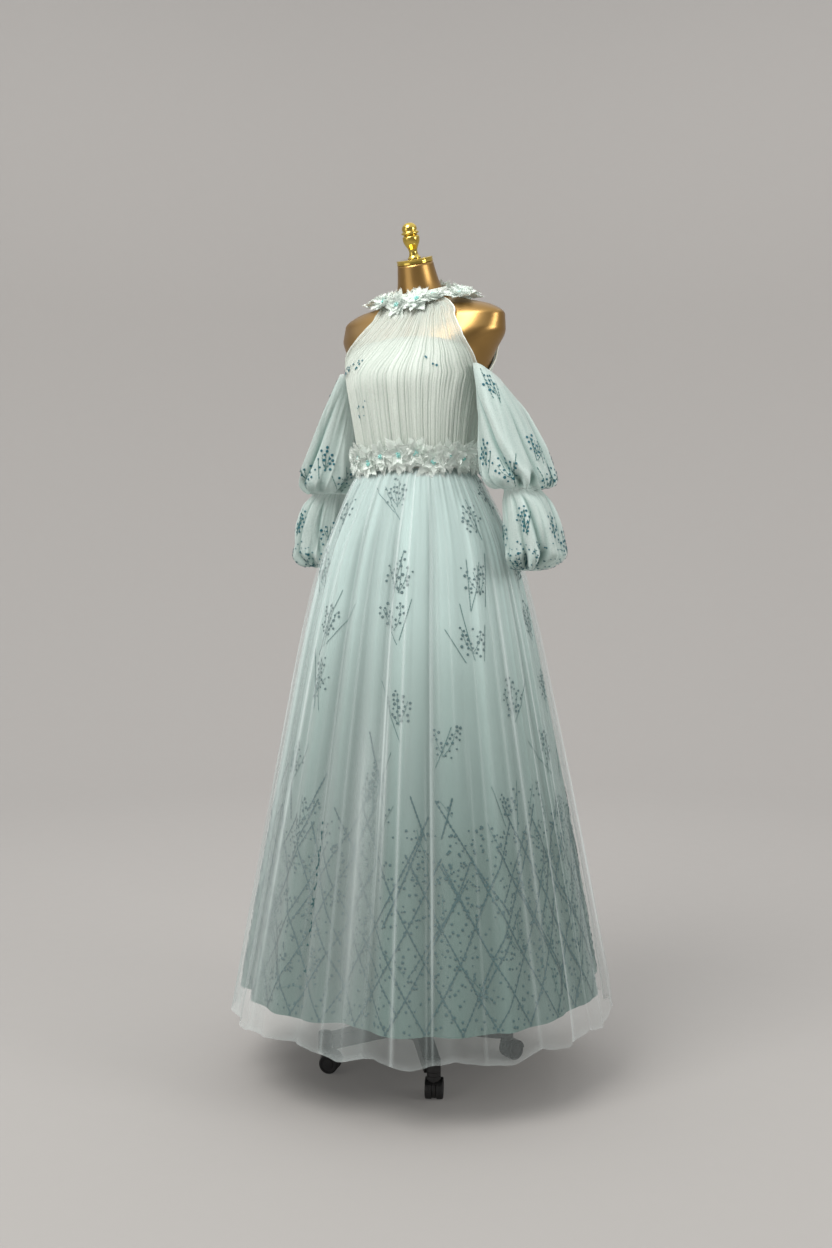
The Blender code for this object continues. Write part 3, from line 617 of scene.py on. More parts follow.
def bodice_panel(name, node, column, coarse, fine, columns, seed):
    """One gathered panel, from side seam to side seam and from waist to collar."""
    across = np.linspace(-1, 1, columns)[None, :]
    level = PANEL_LEVELS[:, None]
    big = gathers(across, level, coarse, seed)
    small = gathers(across, level, fine, seed + 1)
    flat = 1 - 0.45 * np.clip((level - 5) / 3, 0, 1)
    offset = BODICE_TROUGH + flat * (COARSE_DEPTH * big + FINE_DEPTH * small)
    points = dress_surface(level, halter_turn(level, column, across), offset)
    ridge = 0.72 * big + 0.28 * small
    dense = np.clip(1.1 - ridge, 0, 1)
    # Painted shade: darker where the gathers dip between their ridges.
    trough = np.clip(1.0 - 1.15 * ridge, 0, 1)
    panel = cloth_piece(name, points, False, bodice_tulle, gathered=dense, trough=trough)
    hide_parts(node)
    return panel


bodice_front = bodice_panel("bodice_front_tulle", "bodice_front", FRONT, 52, 118, 620, 11)
bodice_back = bodice_panel("bodice_back_tulle", "bodice_back", BACK, 36, 84, 460, 23)

# %% [markdown]
# ## Strapless lining
#
# Under the sheer tulle lies a plain lining with a straight top edge. It shows as a
# change of tint across the chest, with two rows of stitches along the edge.

# %% Lining panels
LINING_TOPS = {FRONT: (3.56, 3.12), BACK: (3.35, 3.15)}  # level at the middle and at the armhole
LINING_OFFSET = 0.0024
LINING_ROWS = 26
LINING_COLUMNS = 70
LINING_WIDTH = 0.97  # as a share of the panel over it


def lining_point(column, share, across, offset):
    """A point of a lining panel; share is 0 at the waist and 1 at its top edge."""
    middle_top, side_top = LINING_TOPS[column]
    top = middle_top + (side_top - middle_top) * across**2
    level = HALTER_REACH[0, 0] + (top - HALTER_REACH[0, 0]) * share
    return dress_surface(level, halter_turn(level, column, LINING_WIDTH * across), offset)


def lining_panel(name, node, column):
    share = np.linspace(0, 1, LINING_ROWS)[:, None]
    across = np.linspace(-1, 1, LINING_COLUMNS)[None, :]
    points = lining_point(column, share, across, LINING_OFFSET)
    panel = cloth_piece(name, points, False, lining_cloth, trough=np.zeros(points.shape[:2]) + 0.2)
    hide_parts(node)
    return panel


lining_front = lining_panel("front_lining", "lining_front", FRONT)
lining_back = lining_panel("back_lining", "lining_back", BACK)

# %% [markdown]
# ## Bound edges, collar and belt bands
#
# The halter's open sides are rolled and stitched, which leaves a narrow pale rim. The
# collar and the belt are plain bands under their flowers, and a fine cord closes the
# belt's lower edge.

# %% Tubes along a line
def tube_piece(name, line, radius, sides, closed, finish):
    """A round cord along a line of points."""
    line = np.asarray(line, float)
    count = len(line)
    if closed:
        ahead = np.roll(line, -1, axis=0) - np.roll(line, 1, axis=0)
    else:
        ahead = np.gradient(line, axis=0)
    ahead /= np.linalg.norm(ahead, axis=1, keepdims=True)
    side = np.cross(ahead, np.array((0.0, 0.0, 1.0)) + 0.3 * ahead)
    side /= np.linalg.norm(side, axis=1, keepdims=True)
    over = np.cross(ahead, side)
    angle = np.linspace(0, math.tau, sides, endpoint=False)
    points = line[:, None] + radius * (
        np.cos(angle)[None, :, None] * side[:, None] + np.sin(angle)[None, :, None] * over[:, None]
    )
    faces = grid_quads(count, sides, True).tolist()
    if closed:
        last = (count - 1) * sides
        faces += [[last + i, last + (i + 1) % sides, (i + 1) % sides, i] for i in range(sides)]
    whole = np.ones(points.shape[:2])
    return new_piece(name, points, faces, finish, trough=0 * whole, gathered=whole)


EDGE_RADIUS = 0.0013
EDGE_LEVELS = np.linspace(2.15, 7.95, 90)  # from the armhole up to the collar
for label, column in (("front", FRONT), ("back", BACK)):
    for side_name, side in (("left", 1), ("right", -1)):
        across = side if column == FRONT else -side
        edge_turn = halter_turn(EDGE_LEVELS, column, across)
        line = dress_surface(EDGE_LEVELS, edge_turn, BODICE_TROUGH + 0.0010)
        tube_piece(f"halter_edge_{label}_{side_name}", line, EDGE_RADIUS, 8, False, bodice_tulle)

# %% Collar band and belt
# Columns: low level, high level, offset from the form.
COLLAR_BAND = (7.95, 8.60, 0.0088)
WAISTBAND = (0.048, 0.30, 0.0094)
BAND_COLUMNS = 640
BAND_ROWS = 8


def band_piece(name, node, band, ridges, depth, seed):
    """A plain band round the body with soft upright gathers."""
    level = np.linspace(band[0], band[1], BAND_ROWS)[:, None]
    turn = np.linspace(0, math.tau, BAND_COLUMNS, endpoint=False)[None, :]
    ridge = gathers(turn / math.pi - 1, level, ridges, seed)
    points = dress_surface(level, turn, band[2] + depth * (ridge - 0.5))
    whole = np.ones(points.shape[:2])
    # Painted shade: darker between the band's gathers.
    piece = cloth_piece(name, points, True, bodice_tulle, gathered=whole, trough=0.5 - 0.5 * ridge)
    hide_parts(node)
    return piece


collar_band = band_piece("collar_band_tulle", "collar_band", COLLAR_BAND, 34, 0.0008, 31)
waistband = band_piece("waistband_tulle", "waistband", WAISTBAND, 104, 0.0016, 37)
PIPING_LEVEL = 0.070
PIPING_OFFSET = 0.0140
PIPING_RADIUS = 0.0024
PIPING_COLUMNS = 160
turn = np.linspace(0, math.tau, PIPING_COLUMNS, endpoint=False)
cord_line = dress_surface(PIPING_LEVEL, turn, PIPING_OFFSET)
piping = tube_piece("belt_cord", cord_line, PIPING_RADIUS, 10, True, petal_cloth)
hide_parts("belt_piping")
cord_steps = np.linalg.norm(np.roll(cord_line, -1, axis=0) - cord_line, axis=1)
print("belt cord", round(float(cord_steps.sum()), 3), "m")

# %% [markdown]
# ## Petal flowers
#
# Each flower is cut from pleated organza: pointed petals in three rings, pleats that
# run out from the middle, and a few aqua beads. One petal is a small grid that narrows
# to a tip, with its rim cut in small teeth by the pleats. Each petal is made with
# numbers of its own, so that no two are alike.

# %% One petal
PETAL_ROWS = 8
PETAL_COLUMNS = 17
PETAL_PLEATS = 8
PETAL_HALF_WIDTH = 0.36  # as a share of its length
# Rings of a flower: how many petals, their length as a share of its radius, their
# height above the band, how steeply they rise, and the turn from the ring outside.
PETAL_RINGS = ((8, 1.0, 0.0012, 0.55, 0.0), (7, 0.80, 0.0030, 1.0, 0.5), (5, 0.52, 0.0048, 1.5, 0.2))


def petal_points(length, half_width, lift, cup, rng):
    """A grid of points for one petal that lies along +X, with its height as z."""
    out = np.linspace(0.05, 1, PETAL_ROWS)[:, None]
    across = np.linspace(-1, 1, PETAL_COLUMNS)[None, :]
    frayed = rng.uniform(0.4, 1.6, PETAL_COLUMNS)[None, :]
    teeth = 1 - 0.13 * frayed * (1 - np.cos(math.tau * PETAL_PLEATS * (across + 1) / 2)) / 2
    tip = (1 - 0.45 * np.abs(across) ** 1.2) * teeth
    width = half_width * np.sin(math.pi * (0.12 + 0.62 * out)) ** 1.1
    x = length * out * tip
    y = width * across
    pleat = 0.0015 * np.cos(math.tau * PETAL_PLEATS * (across + 1) / 2) * out
    curl = rng.uniform(-0.6, 1.3) * 0.0050 * out**2 * np.abs(across) ** 1.5
    twist = rng.uniform(-0.40, 0.40) * y * out
    z = lift + cup * out**1.4 + pleat - curl + twist
    return np.stack(np.broadcast_arrays(x, y, z), axis=-1)


def flower_points(radius, cup, seed):
    """All petals of one flower, each a grid, with the middle of the flower at 0."""
    rng = np.random.default_rng(seed)
    grids = []
    for count, size, lift, rise, offset in PETAL_RINGS:
        for number in range(count):
            angle = math.tau * (number + offset) / count + rng.uniform(-0.16, 0.16)
            length = radius * size * rng.uniform(0.84, 1.04)
            rising = cup * rise * size * rng.uniform(0.5, 1.2)
            grid = petal_points(length, length * PETAL_HALF_WIDTH, lift, rising, rng)
            x = grid[..., 0] * math.cos(angle) - grid[..., 1] * math.sin(angle)
            y = grid[..., 0] * math.sin(angle) + grid[..., 1] * math.cos(angle)
            grids.append(np.stack((x, y, grid[..., 2]), axis=-1))
    return grids


# %% Flowers along a band
def uneven(number):
    """A repeatable value from -1 to 1 that differs from one number to the next."""
    return math.sin(number * 2.399) * 0.6 + math.sin(number * 5.13 + 1.7) * 0.4


def flower_place(band, share, turn, lift):
    """Where a flower sits on its band: local Z faces out."""
    level = band[0] + (band[1] - band[0]) * share
    point = Vector(dress_surface(level, turn, band[2] + lift))
    ahead = Vector(dress_surface(level, turn + 0.02, band[2] + lift)) - point
    upward = Vector(dress_surface(level + 0.02, turn, band[2] + lift)) - point
    facing = ahead.cross(upward).normalized().to_track_quat("Z", "Y").to_matrix().to_4x4()
    return Matrix.Translation(point) @ facing


def bead_points(middle_radius, rng, count):
    """Places and sizes of the beads in a flower's middle."""
    places = [(0.0, 0.0, 0.0092, 0.0026)]
    for number in range(count):
        angle = math.tau * number / count + rng.uniform(-0.3, 0.3)
        reach = middle_radius * rng.uniform(0.6, 1.1)
        places.append((reach * math.cos(angle), reach * math.sin(angle), 0.0088, rng.uniform(0.0014, 0.0021)))
    return places


ROSETTES = 2  # side by side on each node
ROSETTE_TURN_DEG = 17  # from one rosette to the next, about its own middle
BEAD_RING = 0.0048


def flower_row(prefix, count, radius, share, cup, wander, band, seed):
    """A row of flowers, and all their beads as one piece."""
    beads = bmesh.new()
    quads = grid_quads(PETAL_ROWS, PETAL_COLUMNS, False)
    size = PETAL_ROWS * PETAL_COLUMNS
    pleat = np.abs(np.cos(math.pi * PETAL_PLEATS * np.linspace(0, 1, PETAL_COLUMNS)))
    for number in range(count):
        points = []
        for part in range(ROSETTES):
            step = number * ROSETTES + part
            rng = np.random.default_rng(seed + step)
            turn = FRONT_TURN + math.tau * (number + 0.35 + part / ROSETTES) / count
            place = flower_place(band, share + wander * uneven(step), turn, 0.0004)
            place = place @ Matrix.Rotation(math.radians(ROSETTE_TURN_DEG * step), 4, "Z")
            grids = flower_points(radius * (1 - 0.14 * part), cup, seed + 100 + step)
            points += [place @ Vector(point) for grid in grids for point in grid.reshape(-1, 3)]
            for x, y, z, bead in bead_points(BEAD_RING, rng, 7 - 2 * part):
                spot = place @ Matrix.Translation((x, y, z))
                bmesh.ops.create_icosphere(beads, subdivisions=2, radius=bead, matrix=spot)
        petals = len(points) // size
        faces = np.concatenate([quads + size * petal for petal in range(petals)])
        ridge = np.tile(np.broadcast_to(pleat, (PETAL_ROWS, PETAL_COLUMNS)).ravel(), petals)
        name = f"{prefix}_petals_{number + 1}"
        # Painted shade: each petal darkens between its pleats.
        flower = new_piece(name, points, faces, petal_cloth, gathered=1 - ridge, trough=0.6 - 0.6 * ridge)
        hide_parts(f"{prefix}_flower_{number + 1}")
    mesh = bpy.data.meshes.new(f"{prefix}_beads")
    beads.to_mesh(mesh)
    beads.free()
    mesh.materials.append(aqua_beads)
    mesh.shade_smooth()
    piece = bpy.data.objects.new(f"{prefix}_beads", mesh)
    bpy.context.scene.collection.objects.link(piece)
    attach(piece, FIXED)
    print(prefix, "flowers", count * ROSETTES, "bead faces", len(mesh.polygons))


flower_row("collar", 7, 0.0430, -1.25, 0.013, 0.65, COLLAR_BAND, 40)
flower_row("waist", 11, 0.0490, 0.52, 0.012, 0.34, WAISTBAND, 80)

# %% [markdown]
# ## Skirt
#
# Two layers hang from the waist. The inner one carries the embroidery, and a plain
# sheer layer falls over it and a little lower. Fine gathers at the waist merge into
# some 24 large folds that widen towards the hem. Both layers share the large folds. The
# inner one lies further in, and its creases are calmer.

# %% Sections and folds
# Columns: height, half width, half depth, centre y, squareness, fold depth, gap between
# the layers.
WAIST_SEAM = 1.2574
OVERLAY_HEM = 0.130
EMBROIDERED_HEM = 0.178
SKIRT_SECTIONS = np.array((
    (WAIST_SEAM, 0.1256, 0.0911, -0.0225, 2.2, 0.0012, 0.0022),
    (1.236, 0.142, 0.110, -0.0200, 2.1, 0.0022, 0.0045),
    (1.100, 0.205, 0.181, -0.0100, 2.0, 0.0055, 0.0050),
    (0.950, 0.242, 0.229, -0.0050, 2.0, 0.0080, 0.0070),
    (0.700, 0.290, 0.284, -0.0020, 2.0, 0.0110, 0.0080),
    (0.400, 0.346, 0.343, 0.0000, 2.0, 0.0140, 0.0090),
    (OVERLAY_HEM, 0.394, 0.393, 0.0000, 2.0, 0.0160, 0.0100),
))
SKIRT_FOLDS = 24
RIDGE_WIDTH = 0.34  # as a share of the spacing between folds
SOFTENED = 0.40  # how much of the solid's folds the cloth shows beside its own creases
FOLD_UNEVEN = 0.30
FOLD_DRIFT_DEG = 2.2
HEM_DIP = 0.005
HEM_UNEVEN = 0.009  # of the sheer layer, which hangs in points between its folds
FRONT_LIFT = 0.010  # the hem is a little shorter towards the camera
FRONT_LIFT_TURN = math.radians(300)

# Creases placed one by one: where each starts at the waist and ends at the hem, in degrees
# round the body, how wide its left and its right side are, how deep it is (a ridge is
# positive), and the share of the skirt's length where it fades in and out.
# Columns: turn at waist, turn at hem, left width, right width, depth, start, end.
CREASES = np.array((
    (308, 307, 1.6, 4.2, -0.0130, 0.00, 1.00), (313, 311, 3.0, 9.0, 0.0080, 0.05, 1.00),
    (291, 293, 1.4, 6.5, 0.0140, 0.00, 1.00), (286, 289, 2.6, 1.4, -0.0120, 0.04, 1.00),
    (300, 299, 1.6, 1.6, -0.0060, 0.00, 0.62), (281, 283, 1.2, 1.8, 0.0075, 0.10, 1.00),
    (274, 279, 3.4, 1.6, -0.0110, 0.02, 0.95), (268, 273, 1.4, 2.8, 0.0085, 0.00, 1.00),
    (261, 266, 1.5, 3.2, -0.0130, 0.06, 1.00), (254, 258, 3.6, 1.5, 0.0090, 0.10, 1.00),
    (243, 241, 5.0, 5.0, 0.0070, 0.00, 1.00), (232, 229, 1.5, 3.4, -0.0100, 0.00, 0.95),
    (222, 220, 2.2, 2.2, 0.0060, 0.12, 1.00), (333, 330, 1.2, 3.4, 0.0100, 0.02, 1.00),
    (329, 327, 2.6, 1.2, -0.0060, 0.00, 1.00), (344, 343, 1.3, 2.4, -0.0065, 0.06, 0.90),
    (352, 352, 2.0, 4.6, 0.0070, 0.00, 1.00), (359, 362, 1.2, 1.8, -0.0080, 0.10, 1.00),
    (365, 368, 1.8, 3.0, 0.0080, 0.02, 1.00), (13, 15, 1.4, 2.6, -0.0080, 0.00, 0.95),
    (22, 24, 2.2, 4.0, 0.0075, 0.05, 1.00), (33, 34, 1.4, 2.2, -0.0090, 0.00, 1.00),
    (42, 44, 4.0, 2.0, 0.0080, 0.10, 1.00), (53, 52, 1.5, 3.6, -0.0120, 0.00, 1.00),
    (64, 66, 5.0, 2.6, 0.0090, 0.04, 1.00), (76, 75, 1.6, 3.2, -0.0110, 0.00, 0.90),
    (86, 88, 2.4, 6.0, 0.0090, 0.00, 1.00), (99, 98, 1.4, 2.8, -0.0120, 0.08, 1.00),
    (110, 112, 3.6, 2.0, 0.0080, 0.00, 1.00), (121, 119, 1.6, 4.0, -0.0100, 0.00, 1.00),
    (133, 135, 5.6, 3.0, 0.0090, 0.06, 1.00), (145, 144, 1.4, 2.6, -0.0120, 0.00, 0.95),
    (156, 158, 2.4, 4.4, 0.0080, 0.00, 1.00), (168, 166, 1.6, 3.4, -0.0100, 0.05, 1.00),
    (179, 180, 4.6, 2.4, 0.0085, 0.00, 1.00), (190, 191, 1.4, 2.8, -0.0110, 0.00, 1.00),
    (202, 201, 3.0, 4.4, 0.0080, 0.08, 1.00), (211, 211, 1.6, 2.0, -0.0080, 0.00, 0.90),
))
CREASE_POINT = 1.25  # 1 is a pinched crease, 2 a rounded one
CREASE_SPREAD = 1.30  # loose tulle opens each crease a little past its table width


def smooth_step(value):
    value = np.clip(value, 0, 1)
    return value * value * (3 - 2 * value)


def large_folds(turn, fall):
    """The folds of the CAD solid, rounded: 1 on a ridge, about -0.5 in a valley."""
    number = np.arange(SKIRT_FOLDS)
    drift = np.array([uneven(fold) for fold in number]) * math.radians(FOLD_DRIFT_DEG)
    height = np.array([1 + FOLD_UNEVEN * uneven(fold + 7) for fold in number])
    total = np.zeros(np.broadcast(turn, fall).shape)
    for fold in number:
        middle = math.tau * fold / SKIRT_FOLDS + drift[fold] * np.minimum(1, fall * 2)
        away = (turn - middle + math.pi) % math.tau - math.pi
        share = away / (math.tau / SKIRT_FOLDS) / RIDGE_WIDTH
        total += height[fold] * 1.5 * np.exp(-(share**2))
    return total - 0.5


def placed_creases(turn, fall):
    """The creases of the table, in metres outwards."""
    total = np.zeros(np.broadcast(turn, fall).shape)
    for waist, hem, left, right, depth, start, end in CREASES:
        middle = np.radians(waist + (hem - waist) * fall)
        away = np.degrees((turn - middle + math.pi) % math.tau - math.pi)
        away = np.abs(away) / np.where(away < 0, left, right) / CREASE_SPREAD
        fade = smooth_step((fall - start) / 0.14 + 0.2) * smooth_step((end - fall) / 0.15 + 0.45)
        total += depth * np.exp(-(away**CREASE_POINT)) * fade
    return total


def waist_gathers(turn, fall):
    """Fine gathers that die away below the waist, -1 to 1."""
    wander = 1.6 * np.sin(5 * turn + 0.7) + 1.1 * np.sin(11 * turn + 2.1)
    fine = np.sin(96 * turn + wander + 1.5 * np.sin(4 * fall + 3 * turn))
    middle = np.sin(53 * turn + 1.4 * wander + 2.2 * fall)
    return 0.5 * fine * np.exp(-fall / 0.10) + 0.6 * middle * np.exp(-fall / 0.30)


# Broad valleys where the embroidered layer falls back and the sheer one hangs in front.
# Columns: turn, half width in degrees, depth at the hem.
INNER_VALLEYS = (
    (281, 8, 0.030), (231, 6, 0.012), (358, 5, 0.012), (28, 9, 0.018), (75, 9, 0.026), (140, 10, 0.028),
    (188, 8, 0.024),
)
INNER_CALM = 0.55  # the creases of the inner layer against those of the outer one
# Where the sheer layer lies double and hazy. Columns: turn, half width, extra cover.
HAZE = (
    (246, 13, 0.30), (223, 7, 0.35), (282, 8, 0.34), (268, 4, 0.22), (300, 3, 0.06), (342, 4, 0.05),
    (12, 8, 0.06), (32, 6, 0.24), (70, 12, 0.30), (110, 8, 0.20), (150, 12, 0.30), (190, 9, 0.25),
)


def in_places(places, turn, rounded):
    """A sum of bumps round the body from rows of turn, half width and height."""
    total = np.zeros(np.shape(turn))
    for middle, width, height in places:
        away = np.degrees((turn - math.radians(middle) + math.pi) % math.tau - math.pi) / width
        total = total + height * np.exp(-(np.abs(away) ** rounded))
    return total


def hem_waves(turn, fall):
    """Loose waves of the sheer layer towards its hem, -1 to 1."""
    first = np.sin(29 * turn + 2.4 * np.sin(3 * turn + 0.4) + 1.2 * fall)
    second = np.sin(51 * turn + 2.3 * np.sin(7 * turn) - 2.0 * fall)
    return (0.65 * first + 0.35 * second) * smooth_step(fall * 1.8 - 0.2)


def light_lines(turn, fall, count, seed):
    """Where sheer cloth is folded over itself in thin straight lines: 0 to 1."""
    rng = np.random.default_rng(seed)
    total = np.zeros(np.broadcast(turn, fall).shape)
    for _ in range(count):
        top, drift, width = rng.uniform(0, math.tau), rng.normal(0, 0.022), rng.uniform(0.004, 0.016)
        start, end, strength = rng.uniform(-0.3, 0.45), rng.uniform(0.55, 1.3), rng.uniform(0.08, 0.45)
        away = (turn - top - drift * fall + math.pi) % math.tau - math.pi
        fade = smooth_step((fall - start) / 0.2) * smooth_step((end - fall) / 0.25)
        total = total + strength * np.exp(-np.abs(away / width) ** 1.5) * fade
    return np.clip(total, 0, 1)


def skirt_level(height):
    """The level in the table of sections at a height."""
    return level_at(height, SKIRT_SECTIONS)


def skirt_surface(height, turn, inset, offset=0.0):
    """A point on the skirt. inset is 1 on the embroidered layer and 0 on the outer one."""
    height, turn, offset = np.broadcast_arrays(
        np.asarray(height, float), np.asarray(turn, float), np.asarray(offset, float)
    )
    section = along(SKIRT_SECTIONS, skirt_level(height))
    _, width, depth, centre_y, square, fold, gap = np.moveaxis(section, -1, 0)
    fall = np.clip((WAIST_SEAM - height) / (WAIST_SEAM - OVERLAY_HEM), 0, None)
    deep = smooth_step(fall * 5)
    calm = 1 - inset * (1 - INNER_CALM)
    out = SOFTENED * fold * large_folds(turn, fall) + placed_creases(turn, fall) * deep * calm
    out = out - inset * in_places(INNER_VALLEYS, turn, 2.6) * fall**1.2
    out = out + waist_gathers(turn, fall) * np.minimum(0.0022, 0.35 * gap + 0.0006)
    wave = hem_waves(turn, fall)
    out = out + (1 - inset) * wave * gap * (0.25 + 0.55 * fall**3) - inset * gap + offset
    x, y = oval(turn, width + out, depth + out, depth + out, square)
    dip = HEM_DIP * fall**4 * np.sin(3 * turn + 0.6) + FRONT_LIFT * fall**4 * np.cos(turn - FRONT_LIFT_TURN)
    angular = np.arcsin(np.sin(13 * turn + 2.0 * np.sin(2 * turn + 1) + 0.8 * np.sin(5 * turn))) * 2 / math.pi
    dip = dip + (1 - inset) * HEM_UNEVEN * fall**6 * (0.5 * wave + angular)
    return np.stack((x, centre_y + y, height + dip), axis=-1)


def cloth_density(points):
    """How much cloth lies in each degree round the body, against the least."""
    step = np.roll(points, -1, axis=1) - np.roll(points, 1, axis=1)
    length = np.linalg.norm(step, axis=-1)
    middle = points.mean(axis=1, keepdims=True)
    radial = (points - middle)[..., :2]
    radial = radial / np.linalg.norm(radial, axis=-1, keepdims=True)
    sideways = np.abs(step[..., 0] * -radial[..., 1] + step[..., 1] * radial[..., 0])
    return length / np.maximum(sideways, 1e-6)


def soften(values, times):
    """Averages values round the body, a few times."""
    for _ in range(times):
        values = (np.roll(values, 1, axis=1) + 2 * values + np.roll(values, -1, axis=1)) / 4
    return values


# %% Skirt layers
OVERLAY_COLUMNS = 1080
OVERLAY_ROWS = 70
LIGHT_LINES = 120
INNER_COLUMNS = 560
INNER_ROWS = 80


def skirt_layer(name, node, hem, inset, columns, rows, finish):
    """One skirt layer, from its hem up to the waist seam."""
    share = np.linspace(0, 1, rows) ** 0.9
    height = (WAIST_SEAM + (hem - WAIST_SEAM) * share)[::-1][:, None]
    turn = np.linspace(0, math.tau, columns, endpoint=False)[None, :]
    points = skirt_surface(height, turn, inset)
    fall = (WAIST_SEAM - height) / (WAIST_SEAM - OVERLAY_HEM)
    dense = 0.15 * np.clip((soften(cloth_density(points), 8) - 1.0), 0, 1)
    dense = dense + light_lines(turn, fall, LIGHT_LINES, 5) + 0.15 * np.exp(-fall / 0.10)
    haze = in_places(HAZE, turn, 2.0) * smooth_step(fall * 1.6)
    dense = dense + haze * (0.8 + 0.2 * np.sin(9 * fall + 3 * turn))
    dense = np.clip(dense + 0.16 * smooth_step((fall - 0.990) / 0.010), 0, 1)
    # Painted shade: the cloth darkens in the valleys of the folds and creases and between the waist gathers.
    shape = large_folds(turn, fall) * 0.16 + placed_creases(turn, fall) / 0.014
    shape = shape + 0.25 * waist_gathers(turn, fall)
    shade = np.clip(0.36 - 0.55 * shape, 0, 1)
    piece = cloth_piece(name, points, True, finish, gathered=dense, trough=shade)
    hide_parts(node)
    return piece


inner_skirt = skirt_layer(
    "embroidered_skirt",
    "skirt_embroidered",
    EMBROIDERED_HEM,
    1,
    INNER_COLUMNS,
    INNER_ROWS,
    skirt_cloth,
)
outer_skirt = skirt_layer(
    "sheer_skirt",
    "skirt_overlay",
    OVERLAY_HEM,
    0,
    OVERLAY_COLUMNS,
    OVERLAY_ROWS,
    overlay_tulle,
)

# %% [markdown]
# ## Embroidery
#
# Teal berries on thin stems are scattered over the skirt and the sleeves, and a lattice
# of stitched diagonals rises from the hem between them. Each berry is a low dome of
# thread and each stem a row of short stitches. They are laid out here in a layout of
# their own. A texture could draw them, but real domes catch the light, and they stay
# sharp in a close view.

# %% Stitches and berries on a surface
BERRY_SIDES = 7


def thread_marks(name, middles, normals, forwards, lengths, widths, rise, finish):
    """Low domes of thread, round or long, lying on a surface, joined in one mesh."""
    middles, normals, forwards = (np.asarray(a, float) for a in (middles, normals, forwards))
    sideways = np.cross(normals, forwards)
    angle = np.linspace(0, math.tau, BERRY_SIDES, endpoint=False)
    rim = (
        middles[:, None]
        + np.cos(angle)[None, :, None] * forwards[:, None] * (lengths / 2)[:, None, None]
        + np.sin(angle)[None, :, None] * sideways[:, None] * (widths / 2)[:, None, None]
    )
    peak = middles + normals * rise
    count = len(middles)
    points = np.concatenate((rim, peak[:, None]), axis=1).reshape(-1, 3)
    base = np.arange(count)[:, None] * (BERRY_SIDES + 1)
    side = np.arange(BERRY_SIDES)[None, :]
    top = base + BERRY_SIDES + 0 * side
    faces = np.stack((base + side, base + (side + 1) % BERRY_SIDES, top), axis=-1).reshape(-1, 3)
    return new_piece(name, points, faces, finish)


def marks_on(name, surface, placed, rise, finish):
    """Marks from rows of (height, turn, angle, length, width), where angle is from upright."""
    height, turn, angle, length, width = np.asarray(placed, float).T
    reach = 0.0015
    middle = surface(height, turn)
    around = surface(height, turn + 0.008) - surface(height, turn - 0.008)
    upward = surface(height + reach, turn) - surface(height - reach, turn)
    around /= np.linalg.norm(around, axis=-1, keepdims=True)
    upward /= np.linalg.norm(upward, axis=-1, keepdims=True)
    normal = np.cross(around, upward)
    normal /= np.linalg.norm(normal, axis=-1, keepdims=True)
    forward = np.cos(angle)[:, None] * upward + np.sin(angle)[:, None] * around
    forward -= normal * (forward * normal).sum(-1, keepdims=True)
    forward /= np.linalg.norm(forward, axis=-1, keepdims=True)
    return thread_marks(name, middle + normal * 0.0005, normal, forward, length, width, rise, finish)


# %% A sprig
BERRY_APART = 0.0078


def sprig(rng, size, swell=1.0):
    """Berries and stems of one sprig, flat: rows of (up, across, angle, length, width).
    swell is the size of its berries against those of the skirt."""
    berries, stems = [], []
    lean = rng.uniform(-0.35, 0.35)
    branches = []
    for fan in np.linspace(-0.6, 0.6, rng.integers(2, 5)) + rng.uniform(-0.15, 0.15):
        reach = size * rng.uniform(0.6, 1.0) * (1 - 0.3 * abs(fan))
        step = np.arange(0, reach, 0.006)[:, None]
        bend = lean + fan * (1.2 - 0.8 * step / size)
        line = step * np.hstack((np.cos(bend), np.sin(bend))) - np.array((0.45 * size, 0))
        branches.append(line)
        stems += [(*spot, float(turned), 0.0072, 0.0014) for spot, turned in zip(line, bend[:, 0])]
    for _ in range(140):
        line = branches[rng.integers(len(branches))]
        spot = line[rng.integers(len(line) // 4, len(line))] + rng.normal(0, 0.0058, 2)
        if all(math.dist(spot, other[:2]) > BERRY_APART for other in berries):
            across = rng.uniform(0.0042, 0.0072) * swell
            berries.append((*spot, 0.0, across, across))
    for _ in range(rng.integers(1, 4)):
        angle = lean + rng.choice((-1, 1)) * rng.uniform(0.05, 0.60)
        start = np.array((rng.uniform(-0.95, -0.6), rng.uniform(-0.3, 0.3))) * size
        for step in np.arange(0, size * rng.uniform(1.0, 1.6), 0.006):
            spot = start + step * np.array((math.cos(angle), math.sin(angle)))
            stems.append((*spot, angle, 0.0075, 0.0019))
    return berries, stems


def spread(sprigs, rng, size, height, turn, radius, swell=1.0):
    """Lays one sprig at a height and a turn, into the two lists given."""
    for rows, flat in zip(sprigs, sprig(rng, size, swell)):
        for up, across, angle, length, width in flat:
            rows.append((height + up, turn + across / radius, angle, length, width))


# %% Sprigs and hem lattice
# Columns: height of a row of sprigs, how many go round, and their size.
SPRIG_ROWS = (
    (1.190, 7, 0.066), (1.075, 7, 0.074), (0.940, 8, 0.080), (0.810, 8, 0.080),
    (0.690, 9, 0.076), (0.600, 9, 0.062),
)
LATTICE_TURNS = 33
LATTICE_LOW = EMBROIDERED_HEM + 0.006
LATTICE_TOP = 0.56
LATTICE_STEP = 0.0085  # from one stitch to the next
STITCH_LENGTH = 0.0100
DIAMOND_HEIGHT = 0.126


def inner_surface(height, turn):
    """The embroidered layer, just clear of its cloth."""
    return skirt_surface(height, turn, 1, 0.0006)


rng = np.random.default_rng(7)
berries, stems, lattice = [], [], []
for height, count, size in SPRIG_ROWS:
    radius = float(along(SKIRT_SECTIONS, skirt_level(np.array([height])))[0, 1])
    first = rng.uniform(0, math.tau)
    for number in range(count):
        turn = first + math.tau * (number + rng.uniform(-0.28, 0.28)) / count
        grown = size * rng.uniform(0.8, 1.1)
        middle = height + rng.uniform(-0.04, 0.04)
        spread((berries, stems), rng, grown, middle, turn, radius)
print("sprigs", sum(count for _, count, _ in SPRIG_ROWS), "berries", len(berries))


